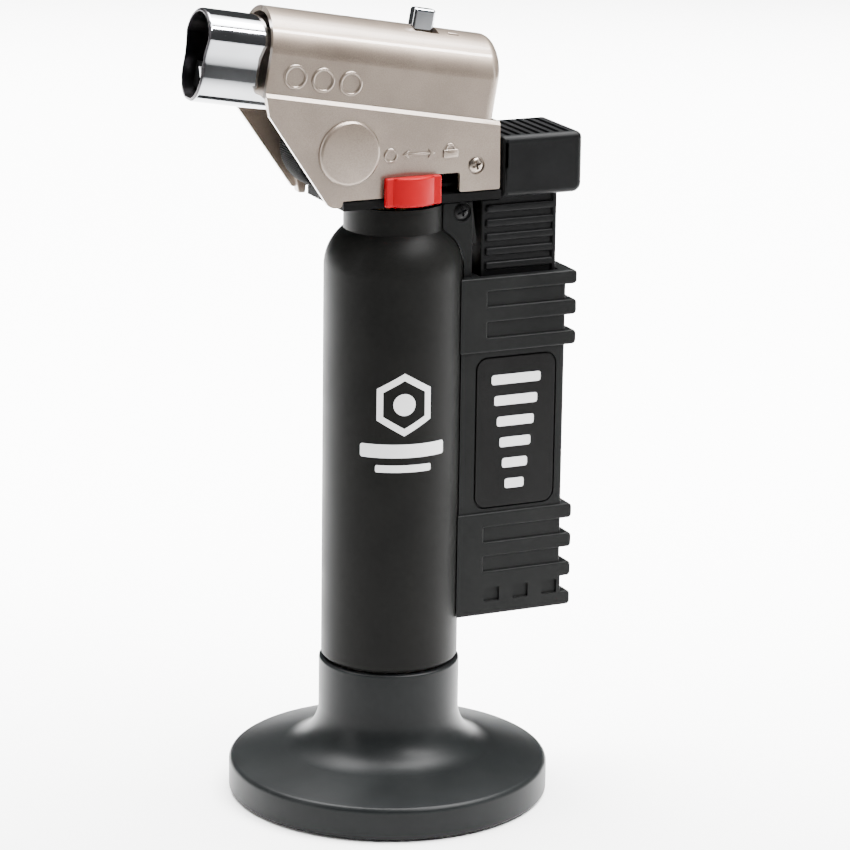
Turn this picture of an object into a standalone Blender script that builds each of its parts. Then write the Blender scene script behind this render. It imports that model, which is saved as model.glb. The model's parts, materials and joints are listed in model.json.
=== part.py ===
"""Butane torch on a round bench stand, as an assembly of separate parts.

Run with: blender --background --python part.py

Z = 0 is the underside of the stand and the Z axis is the axis of the gas tank. The flame leaves
towards -X, the grip and its trigger are on the +X side. Lengths in this file are in millimetres,
and the helper functions turn them into Blender's metres.
"""

from math import cos, pi, radians, sin

import bmesh
import bpy
from mathutils import Matrix, Vector

MM = 0.001
MERGE = 0.00001

# ---- driving dimensions, in millimetres -------------------------------------------------------
GAP = 0.3  # clearance that pieces at rest on each other keep

STAND_R = 30.6
STAND_RIM_TOP = 6.7
COLLAR_R = 13.4
SOCKET_R = 10.7
SOCKET_FLOOR = 14.5
SEAM_Z = 27.0  # joint between the stand's collar and the tank

TANK_R = 13.0
TANK_WALL = 0.9
SHOULDER_Z = 103.0
SHOULDER_R = 9.5
SHOULDER_CENTRE = 3.5
NECK_R = 9.4
NECK_BASE_Z = 110.45
NECK_TOP_Z = 115.3

CHASSIS_Z = (116.0, 117.6)
CHASSIS_X = (-13.8, 18.0)
CHASSIS_HALF = 8.4

BARREL_Z = 141.2  # height of the burner's axis above the tank's axis
BARREL_TILT = 10.0  # degrees, nose up
BARREL_T = (-27.8, 18.0)  # ends of the barrel cover, along the burner's axis
BARREL_HALF = 7.7
BARREL_ARCH = -0.4  # centre of the arched top, above the burner's axis
BARREL_LEDGE = -7.5
COVER_WALL = 1.0
COVER_HALF = 8.6
COVER_INNER = 7.4
COVER_BOTTOM = 117.9
COVER_REAR = 17.6

TUBE_R = 3.3
DIAL_X = -13.3
DIAL_Z = 126.5
DIAL_R = 8.0
DIAL_HALF = 4.6

TRIGGER_TRAVEL = 7.0
PIVOT_X = 10.6
PIVOT_Z = 119.9
BAR_Z = (118.5, 119.3)
BAR_Y = (-6.0, -4.4)

GRIP_HALF = 8.5
GRIP_SKIN = 8.0  # half-width at the bottom of the grooves and over the middle panel
GRIP_REAR = 34.3
GRIP_NOTCH = 32.2
GRIP_Z = (35.0, 101.1)
UPPER_RIBS = ((86.7, 89.5), (92.5, 95.5), (98.4, 101.1))
LOWER_RIBS = ((35.0, 37.8), (40.8, 43.7), (46.6, 49.5), (52.4, 55.3))
GROOVE_FRONT = 15.7

BIG_SEGMENTS = 40
MIDDLE_SEGMENTS = 24
SMALL_SEGMENTS = 20

# ---- scene and collections --------------------------------------------------------------------
for old in list(bpy.data.objects):
    bpy.data.objects.remove(old)


def collection(name):
    made = bpy.data.collections.new(name)
    bpy.context.scene.collection.children.link(made)
    return made


PARTS = collection("butane_torch")
HELPERS = collection("cutters")


def material(name, colour, roughness, metallic):
    made = bpy.data.materials.new(name)
    made.use_nodes = True
    shader = made.node_tree.nodes["Principled BSDF"]
    shader.inputs["Base Color"].default_value = (*colour, 1.0)
    shader.inputs["Roughness"].default_value = roughness
    shader.inputs["Metallic"].default_value = metallic
    return made


STAND_BLACK = material("stand_black", (0.03, 0.03, 0.032), 0.35, 0.0)
STEEL = material("steel", (0.55, 0.55, 0.56), 0.35, 1.0)
RUBBER = material("rubber", (0.03, 0.03, 0.03), 0.85, 0.0)
TANK_BLACK = material("tank_black", (0.022, 0.022, 0.024), 0.5, 0.4)
BRASS = material("brass", (0.72, 0.53, 0.25), 0.3, 1.0)
NYLON = material("nylon", (0.75, 0.74, 0.70), 0.6, 0.0)
PLASTIC = material("grip_black", (0.035, 0.035, 0.037), 0.55, 0.0)
TRIGGER_BLACK = material("trigger_black", (0.02, 0.02, 0.021), 0.5, 0.0)
SATIN = material("champagne_satin", (0.52, 0.47, 0.42), 0.35, 0.7)
CHROME = material("chrome", (0.8, 0.8, 0.82), 0.08, 1.0)
RED = material("lock_red", (0.62, 0.02, 0.03), 0.35, 0.0)
GLOSS = material("label_black", (0.01, 0.01, 0.011), 0.12, 0.0)
CERAMIC = material("ceramic", (0.85, 0.84, 0.80), 0.5, 0.0)

BARREL = Matrix.Translation((0, 0, BARREL_Z * MM)) @ Matrix.Rotation(radians(BARREL_TILT), 4, "Y")
ALONG_Y = Matrix.Rotation(pi / 2, 4, "X")  # turns a local Z axis to -Y
ALONG_X = Matrix.Rotation(pi / 2, 4, "Y")  # turns a local Z axis to +X
UPRIGHT = Matrix.Rotation(pi / 2, 4, "X")  # stands a flat outline up in the XZ plane


# ---- modelling helpers ------------------------------------------------------------------------
def add(name, data, finish):
    made = bpy.data.objects.new(name, data)
    PARTS.objects.link(made)
    if finish:
        data.materials.append(finish)
    return made


def helper(piece):
    """Takes a cutter, or a shape that another piece absorbs, out of the visible model."""
    for home in list(piece.users_collection):
        home.objects.unlink(piece)
    HELPERS.objects.link(piece)
    piece.hide_render = True
    piece.display_type = "WIRE"
    return piece


def boolean(piece, operation, *others):
    for other in others:
        step = piece.modifiers.new(f"{operation.lower()} {other.name}", "BOOLEAN")
        step.operation = operation
        step.object = helper(other)
    return piece


def cut(piece, *others):
    return boolean(piece, "DIFFERENCE", *others)


def join(piece, *others):
    return boolean(piece, "UNION", *others)


def smooth(piece, angle=40):
    piece.data.shade_smooth()
    piece.data.set_sharp_from_angle(angle=radians(angle))
    return piece


def box(name, x, y, z, finish=None, bevel=0.0):
    """A block between the limits x, y and z, with its upright and level edges rounded by bevel."""
    mesh = bpy.data.meshes.new(name)
    shape = bmesh.new()
    size = Vector((x[1] - x[0], y[1] - y[0], z[1] - z[0])) * MM
    middle = Vector((x[0] + x[1], y[0] + y[1], z[0] + z[1])) * MM / 2
    place = Matrix.Translation(middle) @ Matrix.Diagonal((*size, 1))
    bmesh.ops.create_cube(shape, size=1, matrix=place)
    shape.to_mesh(mesh)
    shape.free()
    made = add(name, mesh, finish)
    if bevel:
        edge = made.modifiers.new("rounded edges", "BEVEL")
        edge.width = bevel * MM
        edge.segments = 2
    return made


def cylinder(name, radius, start, end, place=None, finish=None, segments=SMALL_SEGMENTS):
    """A cylinder along the local Z axis of place, from start to end."""
    mesh = bpy.data.meshes.new(name)
    shape = bmesh.new()
    centre = Matrix.Translation((0, 0, (start + end) / 2 * MM))
    bmesh.ops.create_cone(
        shape,
        cap_ends=True,
        segments=segments,
        radius1=radius * MM,
        radius2=radius * MM,
        depth=(end - start) * MM,
        matrix=centre,
    )
    shape.to_mesh(mesh)
    shape.free()
    made = add(name, mesh, finish)
    made.matrix_world = place or Matrix()
    return smooth(made)


def turned(name, profile, finish=None, segments=BIG_SEGMENTS, ring=True, place=None):
    """A turned piece. Its (radius, height) profile runs down the outer side, and back up inside."""
    mesh = bpy.data.meshes.new(name)
    corners = [(r * MM, 0.0, z * MM) for r, z in profile]
    edges = [(i, i + 1) for i in range(len(corners) - 1)]
    if ring:
        edges.append((len(corners) - 1, 0))
    mesh.from_pydata(corners, edges, [])
    made = add(name, mesh, finish)
    made.matrix_world = place or Matrix()
    screw = made.modifiers.new("turn", "SCREW")
    screw.steps = segments
    screw.render_steps = segments
    screw.use_merge_vertices = True
    screw.merge_threshold = MERGE
    screw.use_smooth_shade = True
    return made


def arc(centre_r, centre_z, radius, start, end, steps):
    """Points of an arc, angles in degrees from +X towards +Z."""
    points = []
    for i in range(steps + 1):
        angle = radians(start + (end - start) * i / steps)
        points.append((centre_r + radius * cos(angle), centre_z + radius * sin(angle)))
    return points


def as_mesh(curve_object, finish):
    """Turns a curve into a welded mesh object in the same place."""
    bpy.context.view_layer.update()
    seen = curve_object.evaluated_get(bpy.context.evaluated_depsgraph_get())
    mesh = bpy.data.meshes.new_from_object(seen)
    name = curve_object.name
    place = curve_object.matrix_world.copy()
    bpy.data.objects.remove(curve_object)
    shape = bmesh.new()
    shape.from_mesh(mesh)
    bmesh.ops.remove_doubles(shape, verts=shape.verts, dist=MERGE)
    shape.to_mesh(mesh)
    shape.free()
    mesh.materials.clear()
    made = add(name, mesh, finish)
    made.matrix_world = place
    return made


def plate(name, outline, low, high, place=None, finish=None):
    """A flat outline given thickness along the local Z axis of place, from low to high."""
    curve = bpy.data.curves.new(name, "CURVE")
    curve.dimensions = "2D"
    curve.fill_mode = "BOTH"
    curve.extrude = (high - low) / 2 * MM
    line = curve.splines.new("POLY")
    line.points.add(len(outline) - 1)
    for point, (a, b) in zip(line.points, outline):
        point.co = (a * MM, b * MM, 0, 1)
    line.use_cyclic_u = True
    made = add(name, curve, None)
    made.matrix_world = (place or Matrix()) @ Matrix.Translation((0, 0, (low + high) / 2 * MM))
    return as_mesh(made, finish)


def side_plate(name, outline, y, finish=None):
    """A plate with an XZ outline, between the limits y."""
    return plate(name, outline, -y[1], -y[0], UPRIGHT, finish)


def wire(name, points, radius, finish, place=None):
    """Round wire or tube through the points."""
    curve = bpy.data.curves.new(name, "CURVE")
    curve.dimensions = "3D"
    curve.bevel_depth = radius * MM
    curve.bevel_resolution = 2
    curve.use_fill_caps = True
    line = curve.splines.new("POLY")
    line.points.add(len(points) - 1)
    for point, place_mm in zip(line.points, points):
        point.co = (*(Vector(place_mm) * MM), 1)
    made = add(name, curve, None)
    made.matrix_world = place or Matrix()
    return smooth(as_mesh(made, finish))


def through(points, steps):
    """Points on a smooth curve through the given ones, steps to each stretch."""
    found = []
    for i in range(len(points) - 1):
        before = Vector(points[max(i - 1, 0)])
        here = Vector(points[i])
        there = Vector(points[i + 1])
        after = Vector(points[min(i + 2, len(points) - 1)])
        for j in range(steps):
            u = j / steps
            bend = 2 * before - 5 * here + 4 * there - after
            twist = 3 * here - before - 3 * there + after
            found.append(here + (there - before) * u / 2 + bend * u * u / 2 + twist * u**3 / 2)
    found.append(Vector(points[-1]))
    return found


def coil(name, centre_x, radius, wire_radius, low, high, turns, steps=8):
    """An open compression spring on a vertical axis, with both ends inside low and high."""
    points = []
    count = turns * steps
    for i in range(count + 1):
        angle = 2 * pi * i / steps
        height = low + wire_radius + (high - low - 2 * wire_radius) * i / count
        points.append((centre_x + radius * cos(angle), radius * sin(angle), height))
    return wire(name, points, wire_radius, STEEL)


def origin_at(piece, x, y, z):
    """Moves a piece's origin to a joint's axis and leaves its shape where it is."""
    there = Vector((x, y, z)) * MM
    piece.data.transform(Matrix.Translation(-there) @ piece.matrix_world)
    piece.matrix_world = Matrix.Translation(there)
    return piece


# ---- the stand --------------------------------------------------------------------------------
def make_stand():
    flare_r = 8.2
    flare_x = COLLAR_R + flare_r
    flare_z = 17.0
    rim_fillet = 1.1
    outer = [(COLLAR_R - 0.5, SEAM_Z - GAP), (COLLAR_R, SEAM_Z - GAP - 0.5)]
    outer += arc(flare_x, flare_z, flare_r, 180, 264, 6)
    outer += arc(STAND_R - rim_fillet, STAND_RIM_TOP - rim_fillet, rim_fillet, 78, 0, 4)
    outer += [(STAND_R, 1.4), (STAND_R - 0.5, 0.4)]
    under = [(28.8, 0.4), (28.8, 4.2), (20.0, 6.2), (15.0, 8.2), (9.5, 12.4)]
    well = [(1.6, 12.4), (1.6, SOCKET_FLOOR), (SOCKET_R, SOCKET_FLOOR), (SOCKET_R, SEAM_Z - 1.0)]
    mouth = [(SOCKET_R + 0.6, SEAM_Z - GAP)]
    turned("stand_shell", outer + under + well + mouth, STAND_BLACK)
    turned("stand_ballast_disc", [(0, 3.4), (28.3, 3.4), (28.3, 1.3), (0, 1.3)], STEEL, ring=False)
    turned("stand_foot_pad", [(0, 1.0), (28.3, 1.0), (28.3, 0.0), (0, 0.0)], RUBBER, ring=False)


# ---- the gas tank and its fill valve ----------------------------------------------------------
def tank_outline(offset):
    """The tank's outer side from the neck's top down, moved outwards by offset."""
    side = [(NECK_R + offset, NECK_TOP_Z), (NECK_R + offset, NECK_BASE_Z + max(offset, 0))]
    side += arc(SHOULDER_CENTRE, SHOULDER_Z, SHOULDER_R + offset, 50, 0, 6)
    return side


def tank_envelope(name):
    """A solid a little larger than the tank and its neck, which shapes the grip's hollow front."""
    side = [(0, NECK_TOP_Z + 1), (NECK_R + GAP, NECK_TOP_Z + 1)]
    side += tank_outline(GAP)[1:]
    side += [(TANK_R + GAP, 20), (0, 20)]
    return turned(name, side, ring=False, segments=BIG_SEGMENTS)


def make_tank():
    outside = tank_outline(0)
    inside = tank_outline(-TANK_WALL)
    foot = [(TANK_R, SEAM_Z + 0.9), (TANK_R - 0.3, SEAM_Z + 0.25), (TANK_R - 0.8, SEAM_Z)]
    skirt = [(TANK_R - TANK_WALL, SEAM_Z)]
    turned("tank_shell", outside + foot + skirt + inside[::-1], TANK_BLACK)

    plug = TANK_R - TANK_WALL - GAP
    spigot = SOCKET_R - GAP
    groove = 10.6
    cap = [(plug, 32.0), (plug, 30.7), (groove, 30.7), (groove, 29.1), (plug, 29.1)]
    cap += [(plug, 27.4), (spigot, 27.4), (spigot, 15.6), (spigot - 0.7, 15.0)]
    cap += [(7.0, 15.0), (7.0, 24.0), (4.3, 24.0), (4.3, 32.0)]
    turned("tank_bottom_cap", cap, NYLON)
    seal = arc(11.35, 29.9, 0.6, 90, -270, 6)[:-1]
    turned("cap_seal", seal, RUBBER, MIDDLE_SEGMENTS)

    body = [(4.0, 33.0), (4.0, 23.7), (5.8, 23.7), (5.8, 22.0), (2.0, 22.0), (2.0, 24.5)]
    body += [(2.8, 24.5), (2.8, 31.8), (0.8, 31.8), (0.8, 33.0)]
    turned("fill_valve_body", body, BRASS, SMALL_SEGMENTS)
    stem = [(1.2, 27.4), (1.2, 25.8), (2.5, 25.8), (2.5, 24.8), (1.6, 24.8), (1.6, 19.6)]
    stem += [(1.2, 19.2), (0.6, 19.2), (0.6, 27.4)]
    turned("fill_stem", stem, BRASS, SMALL_SEGMENTS)
    coil("fill_spring", 0, 2.0, 0.25, 26.1, 31.5, 5)
    turned("feed_wick", [(0, 106.6), (1.3, 106.6), (1.3, 40), (0, 40)], NYLON, 12, ring=False)


# ---- the gas valve ----------------------------------------------------------------------------
def make_valve():
    bore = NECK_R - TANK_WALL
    holder = bore - GAP
    groove = 7.3
    outer = [(holder, 115.2), (holder, 113.9), (groove, 113.9), (groove, 112.5), (holder, 112.5)]
    outer += [(holder, 109.5), (5.0, 105.0), (1.6, 105.0), (1.6, 107.9), (3.3, 107.9), (3.3, 115.2)]
    turned("valve_holder", outer, BRASS, MIDDLE_SEGMENTS)
    turned("holder_seal", arc(7.92, 113.2, 0.4, 90, -270, 6)[:-1], RUBBER, MIDDLE_SEGMENTS)

    body = [(1.15, 119.5), (3.0, 119.5), (3.0, 108.3), (1.0, 108.3), (1.0, 109.6), (2.2, 109.6)]
    body += [(2.2, 118.5), (1.15, 118.5)]
    turned("valve_body", body, BRASS, SMALL_SEGMENTS)
    nut = plate("valve_nut", arc(0, 0, 4.6, 0, 300, 5), 117.9, 119.2, finish=BRASS)
    cut(nut, cylinder("nut_bore", 3.2, 116, 121))

    collar = (121.7, 122.5)
    stem = [(0, 124.0), (0.9, 124.0), (0.9, collar[1]), (2.3, collar[1]), (2.3, collar[0])]
    stem += [(0.9, collar[0]), (0.9, 112.8), (1.9, 112.8), (1.9, 112.0), (0.9, 112.0)]
    stem += [(0.9, 110.4), (0, 110.4)]
    turned("valve_stem", stem, STEEL, SMALL_SEGMENTS, ring=False)
    coil("valve_spring", 0, 1.5, 0.2, 113.1, 118.2, 5)


def strip(points, thickness):
    """The outline of a bent strip of sheet that follows the points."""
    sides = ([], [])
    for i, (x, z) in enumerate(points):
        before = Vector(points[max(i - 1, 0)])
        after = Vector(points[min(i + 1, len(points) - 1)])
        run = (after - before).normalized()
        for side, way in zip(sides, (1, -1)):
            side.append((x - run.y * way * thickness / 2, z + run.x * way * thickness / 2))
    return sides[0] + sides[1][::-1]


def make_lever():
    sheet = 0.8
    arm_z = (120.6, 121.4)
    lever = cylinder("valve_lever", 1.7, -2.6, 2.6, pivot_place(), STEEL)
    neck = ((PIVOT_X + 0.9, PIVOT_Z - 0.4), (12.6, 118.6), (13.1, 116.5), (13.35, 114.6))
    tail = ((13.3, 115.0), (14.4, 107.0))
    join(
        lever,
        side_plate("lever_neck", strip(neck, sheet), (-2.6, 2.6)),
        side_plate("lever_tail", strip(tail, sheet), (-5.0, 3.2)),
        box("lever_root", (3.6, PIVOT_X), (-2.6, 2.6), arm_z),
        box("lever_arms", (-2.0, 4.6), (-3.1, 3.1), arm_z),
        box("lever_link", (2.4, 4.2), (0.0, 6.1), arm_z),
        box("lever_finger", (-8.0, 3.6), (5.1, 6.1), arm_z),
    )
    cut(
        lever,
        box("lever_fork_gap", (-3.0, 1.3), (-1.4, 1.4), (119.0, 123.0)),
        cylinder("lever_bore", 1.05, -4, 4, pivot_place()),
    )
    origin_at(lever, PIVOT_X, 0, PIVOT_Z)
    cylinder("lever_pin", 0.9, -3.95, 3.95, pivot_place(), STEEL)


def pivot_place():
    return Matrix.Translation((PIVOT_X * MM, 0, PIVOT_Z * MM)) @ ALONG_Y


# ---- the head's chassis -----------------------------------------------------------------------
def make_chassis():
    chassis = box("head_chassis", CHASSIS_X, (-CHASSIS_HALF, CHASSIS_HALF), CHASSIS_Z, PLASTIC)
    ear_r = 1.6
    ears = []
    for side in (-1, 1):
        outline = [(PIVOT_X - ear_r, 117.0)] + arc(PIVOT_X, PIVOT_Z, ear_r, 180, 0, 8)
        outline += [(PIVOT_X + ear_r, 117.0)]
        reach = (2.9, 3.9) if side > 0 else (-3.9, -2.9)
        ears.append(side_plate(f"chassis_ear_{side + 1}", outline, reach))
    ring = cylinder("chassis_ring", 5.2, -4.5, -1.5, BARREL @ ALONG_X)
    # The post steps forward at its foot, to leave room for the valve's nut.
    bracket = ((-8.2, 117.0), (-5.6, 117.0), (-5.6, 119.8), (-2.6, 119.8), (-2.6, 138.0))
    bracket += ((-4.6, 138.0), (-4.6, 122.3), (-7.2, 120.3), (-8.2, 119.6))
    post = side_plate("chassis_post", bracket, (-3.9, 3.9))
    join(chassis, *ears, post, ring)
    cut(
        chassis,
        cylinder("ring_bore", TUBE_R + GAP, -7, 2, BARREL @ ALONG_X),
        cylinder("valve_hole", 3.4, 114, 119),
        box("lever_slot", (12.0, 15.4), (-2.85, 2.85), (115.0, 118.5)),
        cylinder("lead_hole", 0.9, 115, 118.5, Matrix.Translation((13.7 * MM, 4.8 * MM, 0))),
        cylinder("pivot_hole", 1.05, -5, 5, pivot_place()),
    )


# ---- the two covers of the head ---------------------------------------------------------------
def barrel_section(half, top, low, steps=7):
    """Half of the barrel's arched section as (y, height) points, from its foot to its crown."""
    points = [(half, low)]
    for i in range(steps + 1):
        angle = pi / 2 * i / steps
        points.append((half * cos(angle), BARREL_ARCH + (top - BARREL_ARCH) * sin(angle)))
    return points


def barrel_block(name, side, inset, front, rear):
    """Half of the barrel as a solid, with its rear top edge rounded, lofted along its axis."""
    half = BARREL_HALF - inset
    top = BARREL_ARCH + BARREL_HALF - inset
    low = BARREL_LEDGE - 1.6
    round_top = 2.7 - inset
    round_side = 0.8
    stations = [(front, 0.0, 0.0)]
    for i in range(5):
        angle = pi / 2 * i / 4
        stations.append((rear - round_top * (1 - sin(angle)), round_side * (1 - cos(angle)),
                         round_top * (1 - cos(angle))))
    shape = bmesh.new()
    rings = []
    for t, narrow, sink in stations:
        section = barrel_section(half - narrow, top - sink, low)
        section.append((0.0 if inset else GAP / 2, section[-1][1]))
        section[-2] = (max(section[-2][0], 0.5), section[-2][1])
        section.append((section[-1][0], low))
        rings.append([shape.verts.new((t * MM, side * y * MM, n * MM)) for y, n in section])
    for ring, following in zip(rings, rings[1:]):
        for i in range(len(ring)):
            j = (i + 1) % len(ring)
            shape.faces.new((ring[i], ring[j], following[j], following[i]))
    shape.faces.new(rings[0])
    shape.faces.new(rings[-1])
    bmesh.ops.recalc_face_normals(shape, faces=shape.faces)
    mesh = bpy.data.meshes.new(name)
    shape.to_mesh(mesh)
    shape.free()
    made = add(name, mesh, SATIN)
    made.matrix_world = BARREL
    return made


def cover_outline(slotted):
    """The XZ outline of a cover's side plate. The near one has a slot for the lock slider."""
    # The near plate's slanting front edge stands a little further back.
    back = 0.4 if slotted else 0.0
    ledge_front = (-29.1 + back, 138.6)
    ledge_rear = (COVER_REAR, 130.5)
    points = [ledge_rear, (COVER_REAR, COVER_BOTTOM)]
    if slotted:
        points += [(9.4, COVER_BOTTOM), (9.4, 121.6), (-5.9, 121.6), (-5.9, COVER_BOTTOM)]
    points += [(-14.1, COVER_BOTTOM), (-14.5, 117.0), (-16.3, 116.8), (-17.9 + back, 118.9)]
    points += [(-28.7 + back, 134.5), ledge_front]
    return points


def across(side, near, far):
    """Y limits at the given distances from the middle plane, on one side of it."""
    return (near, far) if side > 0 else (-far, -near)


def make_cover(name, side):
    cover = side_plate(name, cover_outline(side < 0), across(side, COVER_INNER, COVER_HALF), SATIN)
    barrel = barrel_block(f"{name}_barrel", side, 0.0, *BARREL_T)
    rear_wall = box(f"{name}_rear", (COVER_REAR - 1, COVER_REAR - 0.05), across(side, GAP / 2, 8.0),
                    (COVER_BOTTOM + 0.1, 131.5))
    boss_place = Matrix.Translation((13.1 * MM, 0, 122.8 * MM)) @ ALONG_Y
    boss = cylinder(f"{name}_boss", 1.7, -8.0 if side > 0 else GAP, -GAP if side > 0 else 8.0,
                    boss_place)
    journal_depth = 5.0 if side < 0 else 6.7
    dial_place = Matrix.Translation((DIAL_X * MM, 0, DIAL_Z * MM)) @ ALONG_Y
    journal = cylinder(f"{name}_journal", 3.2, *across(-side, journal_depth, 8.0), dial_place)
    join(cover, barrel, rear_wall, boss, journal)
    hollow = barrel_block(f"{name}_hollow", side, COVER_WALL, BARREL_T[0] - 3,
                          BARREL_T[1] - COVER_WALL)
    hollow.location.z -= 0.05 * MM
    slot_y = 3.3
    air_slot = box(f"{name}_air_slot", (1.2, 6.2), (-slot_y, slot_y), (2.0, 9.0))
    air_slot.matrix_world = BARREL
    floor_cut = box(f"{name}_floor", (-26.0, COVER_REAR - 1), across(side, -1.0, COVER_INNER),
                    (112.0, 118.6))
    journal_bore = cylinder(f"{name}_journal_bore", 2.0, *across(-side, 4.0, COVER_INNER),
                            dial_place)
    screw_reach = (-5.5, 1.0) if side > 0 else (-1.0, 9.5)
    screw_bore = cylinder(f"{name}_screw_bore", 1.05, *screw_reach, boss_place)
    cutters = [hollow, air_slot, floor_cut, journal_bore, screw_bore]
    if side < 0:
        cutters.append(cylinder(f"{name}_countersink", 1.7, 7.9, 9.5, boss_place))
        cutters.append(box(f"{name}_bar_window", (14, 19), (BAR_Y[0] - GAP, BAR_Y[1] + GAP),
                           (BAR_Z[0] - 0.5, BAR_Z[1] + GAP)))
    cut(cover, *cutters)


def phillips_screw(name, place, head_r, shaft_r, head, tip, finish):
    """A cross-head screw whose head faces local +Z, from the head's face down to the tip."""
    body = [(0, head), (head_r - 0.3, head), (head_r, head - 0.2), (head_r, head - 0.7)]
    body += [(shaft_r, head - 0.9), (shaft_r, tip + 0.6), (0, tip)]
    screw = turned(name, body, finish, SMALL_SEGMENTS, ring=False, place=place)
    arms = []
    for turn in (0, 90):
        arm = box(f"{name}_cross_{turn}", (-head_r * 0.6, head_r * 0.6), (-0.2, 0.2),
                  (head - 0.5, head + 0.5))
        arm.matrix_world = place @ Matrix.Rotation(radians(turn), 4, "Z")
        arms.append(arm)
    return cut(screw, *arms)


# ---- the burner -------------------------------------------------------------------------------
def guard_section(inset):
    """The shroud's outline as (y, height over the burner's axis): a round top over a box."""
    wide, high = 5.9 - inset, 5.5 - inset
    right = [(wide * y, high * n) for y, n in arc(0, 0, 1, 90, 6, 8)]
    right += [(4.9 - inset, -2.9), (5.1 - inset, -7.4), (4.75 - inset * 0.9, -9.0 + inset * 0.2)]
    right += [(3.7 - inset * 0.75, -10.4 + inset * 0.5), (1.6 - inset * 0.4, -11.7 + inset)]
    left = [(-y, n) for y, n in reversed(right[1:])]
    return right + left


def make_burner():
    guard_t = (-39.6, -22.0)
    across_axis = BARREL @ Matrix(((0, 0, 1, 0), (1, 0, 0, 0), (0, 1, 0, 0), (0, 0, 0, 1)))
    guard = plate("burner_guard", guard_section(0.0), *guard_t, across_axis, CHROME)
    cut(guard, plate("guard_bore", guard_section(0.7), guard_t[0] - 2, guard_t[1] + 2, across_axis))

    along = BARREL @ ALONG_X
    bore = TUBE_R - 0.5
    tube = turned("burner_tube", [(TUBE_R, 9.0), (TUBE_R, -34.0), (bore, -34.0), (bore, 9.0)],
                  STEEL, 24, place=along)
    for turn in (0, 90):
        place = along @ Matrix.Translation((0, 0, 5.5 * MM)) @ Matrix.Rotation(pi / 2, 4, "X")
        spun = place @ Matrix.Rotation(radians(turn), 4, "Y")
        cut(tube, cylinder(f"air_port_{turn}", 1.1, -6, 6, spun, segments=10))
    holder = cylinder("flame_holder", bore - 0.2, -33.0, -31.0, along, BRASS)
    for i in range(6):
        angle = 2 * pi * i / 6
        spot = Matrix.Translation((1.5 * cos(angle) * MM, 1.5 * sin(angle) * MM, 0))
        cut(holder, cylinder(f"flame_port_{i}", 0.45, -37, -31, along @ spot, segments=8))
    jet = [(0, 14.6), (3.1, 14.6), (3.1, 9.4), (1.3, 9.4), (1.3, 7.5), (0.6, 6.6), (0, 6.6)]
    turned("gas_jet", jet, BRASS, SMALL_SEGMENTS, ring=False, place=along)
    route = ((0, 0, 124.4), (0, 0, 127.4), (2.4, 0, 130.4), (8.0, 0, 131.0), (11.0, 0, 132.6),
             (11.3, 0, 135.4))
    wire("gas_tube", through(route, 4), 0.6, BRASS)


def make_igniter():
    along = BARREL @ ALONG_X
    rail = -7.4
    off_axis = along @ Matrix.Translation((-rail * MM, 0, 0))
    sleeve = [(1.3, -20.4), (1.3, -36.0), (0.85, -36.0), (0.85, -20.4)]
    turned("electrode_insulator", sleeve, CERAMIC, 16, place=off_axis)
    pin = ((-20.0, 0, rail), (-36.6, 0, rail), (-37.4, 0, rail + 0.6), (-37.9, 0, rail + 2.4))
    wire("electrode", pin, 0.45, STEEL, BARREL)
    lead = ((-20.3, 0, 137.2), (-15, 1.5, 137.3), (-9, 4.6, 136.2), (-3.6, 5.8, 134),
            (3, 5.9, 129.5), (7.6, 5.8, 125.0), (9.8, 5.5, 121.4), (12.2, 5.0, 118.8),
            (13.7, 4.8, 116.4), (13.7, 4.8, 110), (13.8, 4.8, 101), (13.95, 4.8, 85),
            (13.95, 4.8, 70), (14.2, 4.8, 60), (15.9, 4.4, 56.8), (19, 2.5, 55.6),
            (22.4, 0.6, 56.4), (23.4, 0, 58.6), (23.5, 0, 61.5))
    wire("ignition_lead", through(lead, 2), 0.4, RUBBER)

    piezo = box("piezo_body", (20.0, 27.0), (-4.0, 4.0), (62.0, 92.0), NYLON, 0.4)
    centre = Matrix.Translation((23.5 * MM, 0, 0))
    cut(piezo, cylinder("piezo_bore", 2.6, 76.0, 94.0, centre))
    plunger = cylinder("piezo_plunger", 2.3, 84.0, 108.0, centre, NYLON)
    origin_at(plunger, 23.5, 0, 84.0)
    coil("trigger_spring", 23.5, 3.6, 0.35, 92.4, 108.0, 7)


def make_air_lever():
    """A collar over the air ports, with a tab through the barrel's top that turns it."""
    collar = turned("air_lever", [(4.5, 8.4), (4.5, 1.2), (3.6, 1.2), (3.6, 8.4)], CHROME, 24,
                    place=BARREL @ ALONG_X)
    tab = box("air_tab", (1.55, 5.85), (-1.2, 1.2), (4.2, 10.4))
    tab.matrix_world = BARREL
    tab_hollow = box("air_tab_hollow", (2.2, 6.9), (-0.7, 0.7), (7.8, 9.8))
    tab_hollow.matrix_world = BARREL
    join(collar, tab)
    cut(collar, tab_hollow)


def make_dial():
    place = Matrix.Translation((DIAL_X * MM, 0, DIAL_Z * MM)) @ ALONG_Y
    stub = 1.8
    drum = [(0, 7.1), (stub, 7.1), (stub, DIAL_HALF), (DIAL_R - 0.5, DIAL_HALF)]
    drum += [(DIAL_R, DIAL_HALF - 0.5), (DIAL_R, 0.5 - DIAL_HALF), (DIAL_R - 0.5, -DIAL_HALF)]
    drum += [(stub, -DIAL_HALF), (stub, -7.1), (0, -7.1)]
    dial = turned("flow_dial", drum, TRIGGER_BLACK, BIG_SEGMENTS, ring=False, place=place)
    cam_place = place @ Matrix.Translation((-1.5 * MM, 0, 0))
    join(dial, cylinder("dial_cam", 4.3, -6.2, 0.2 - DIAL_HALF, cam_place))


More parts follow.
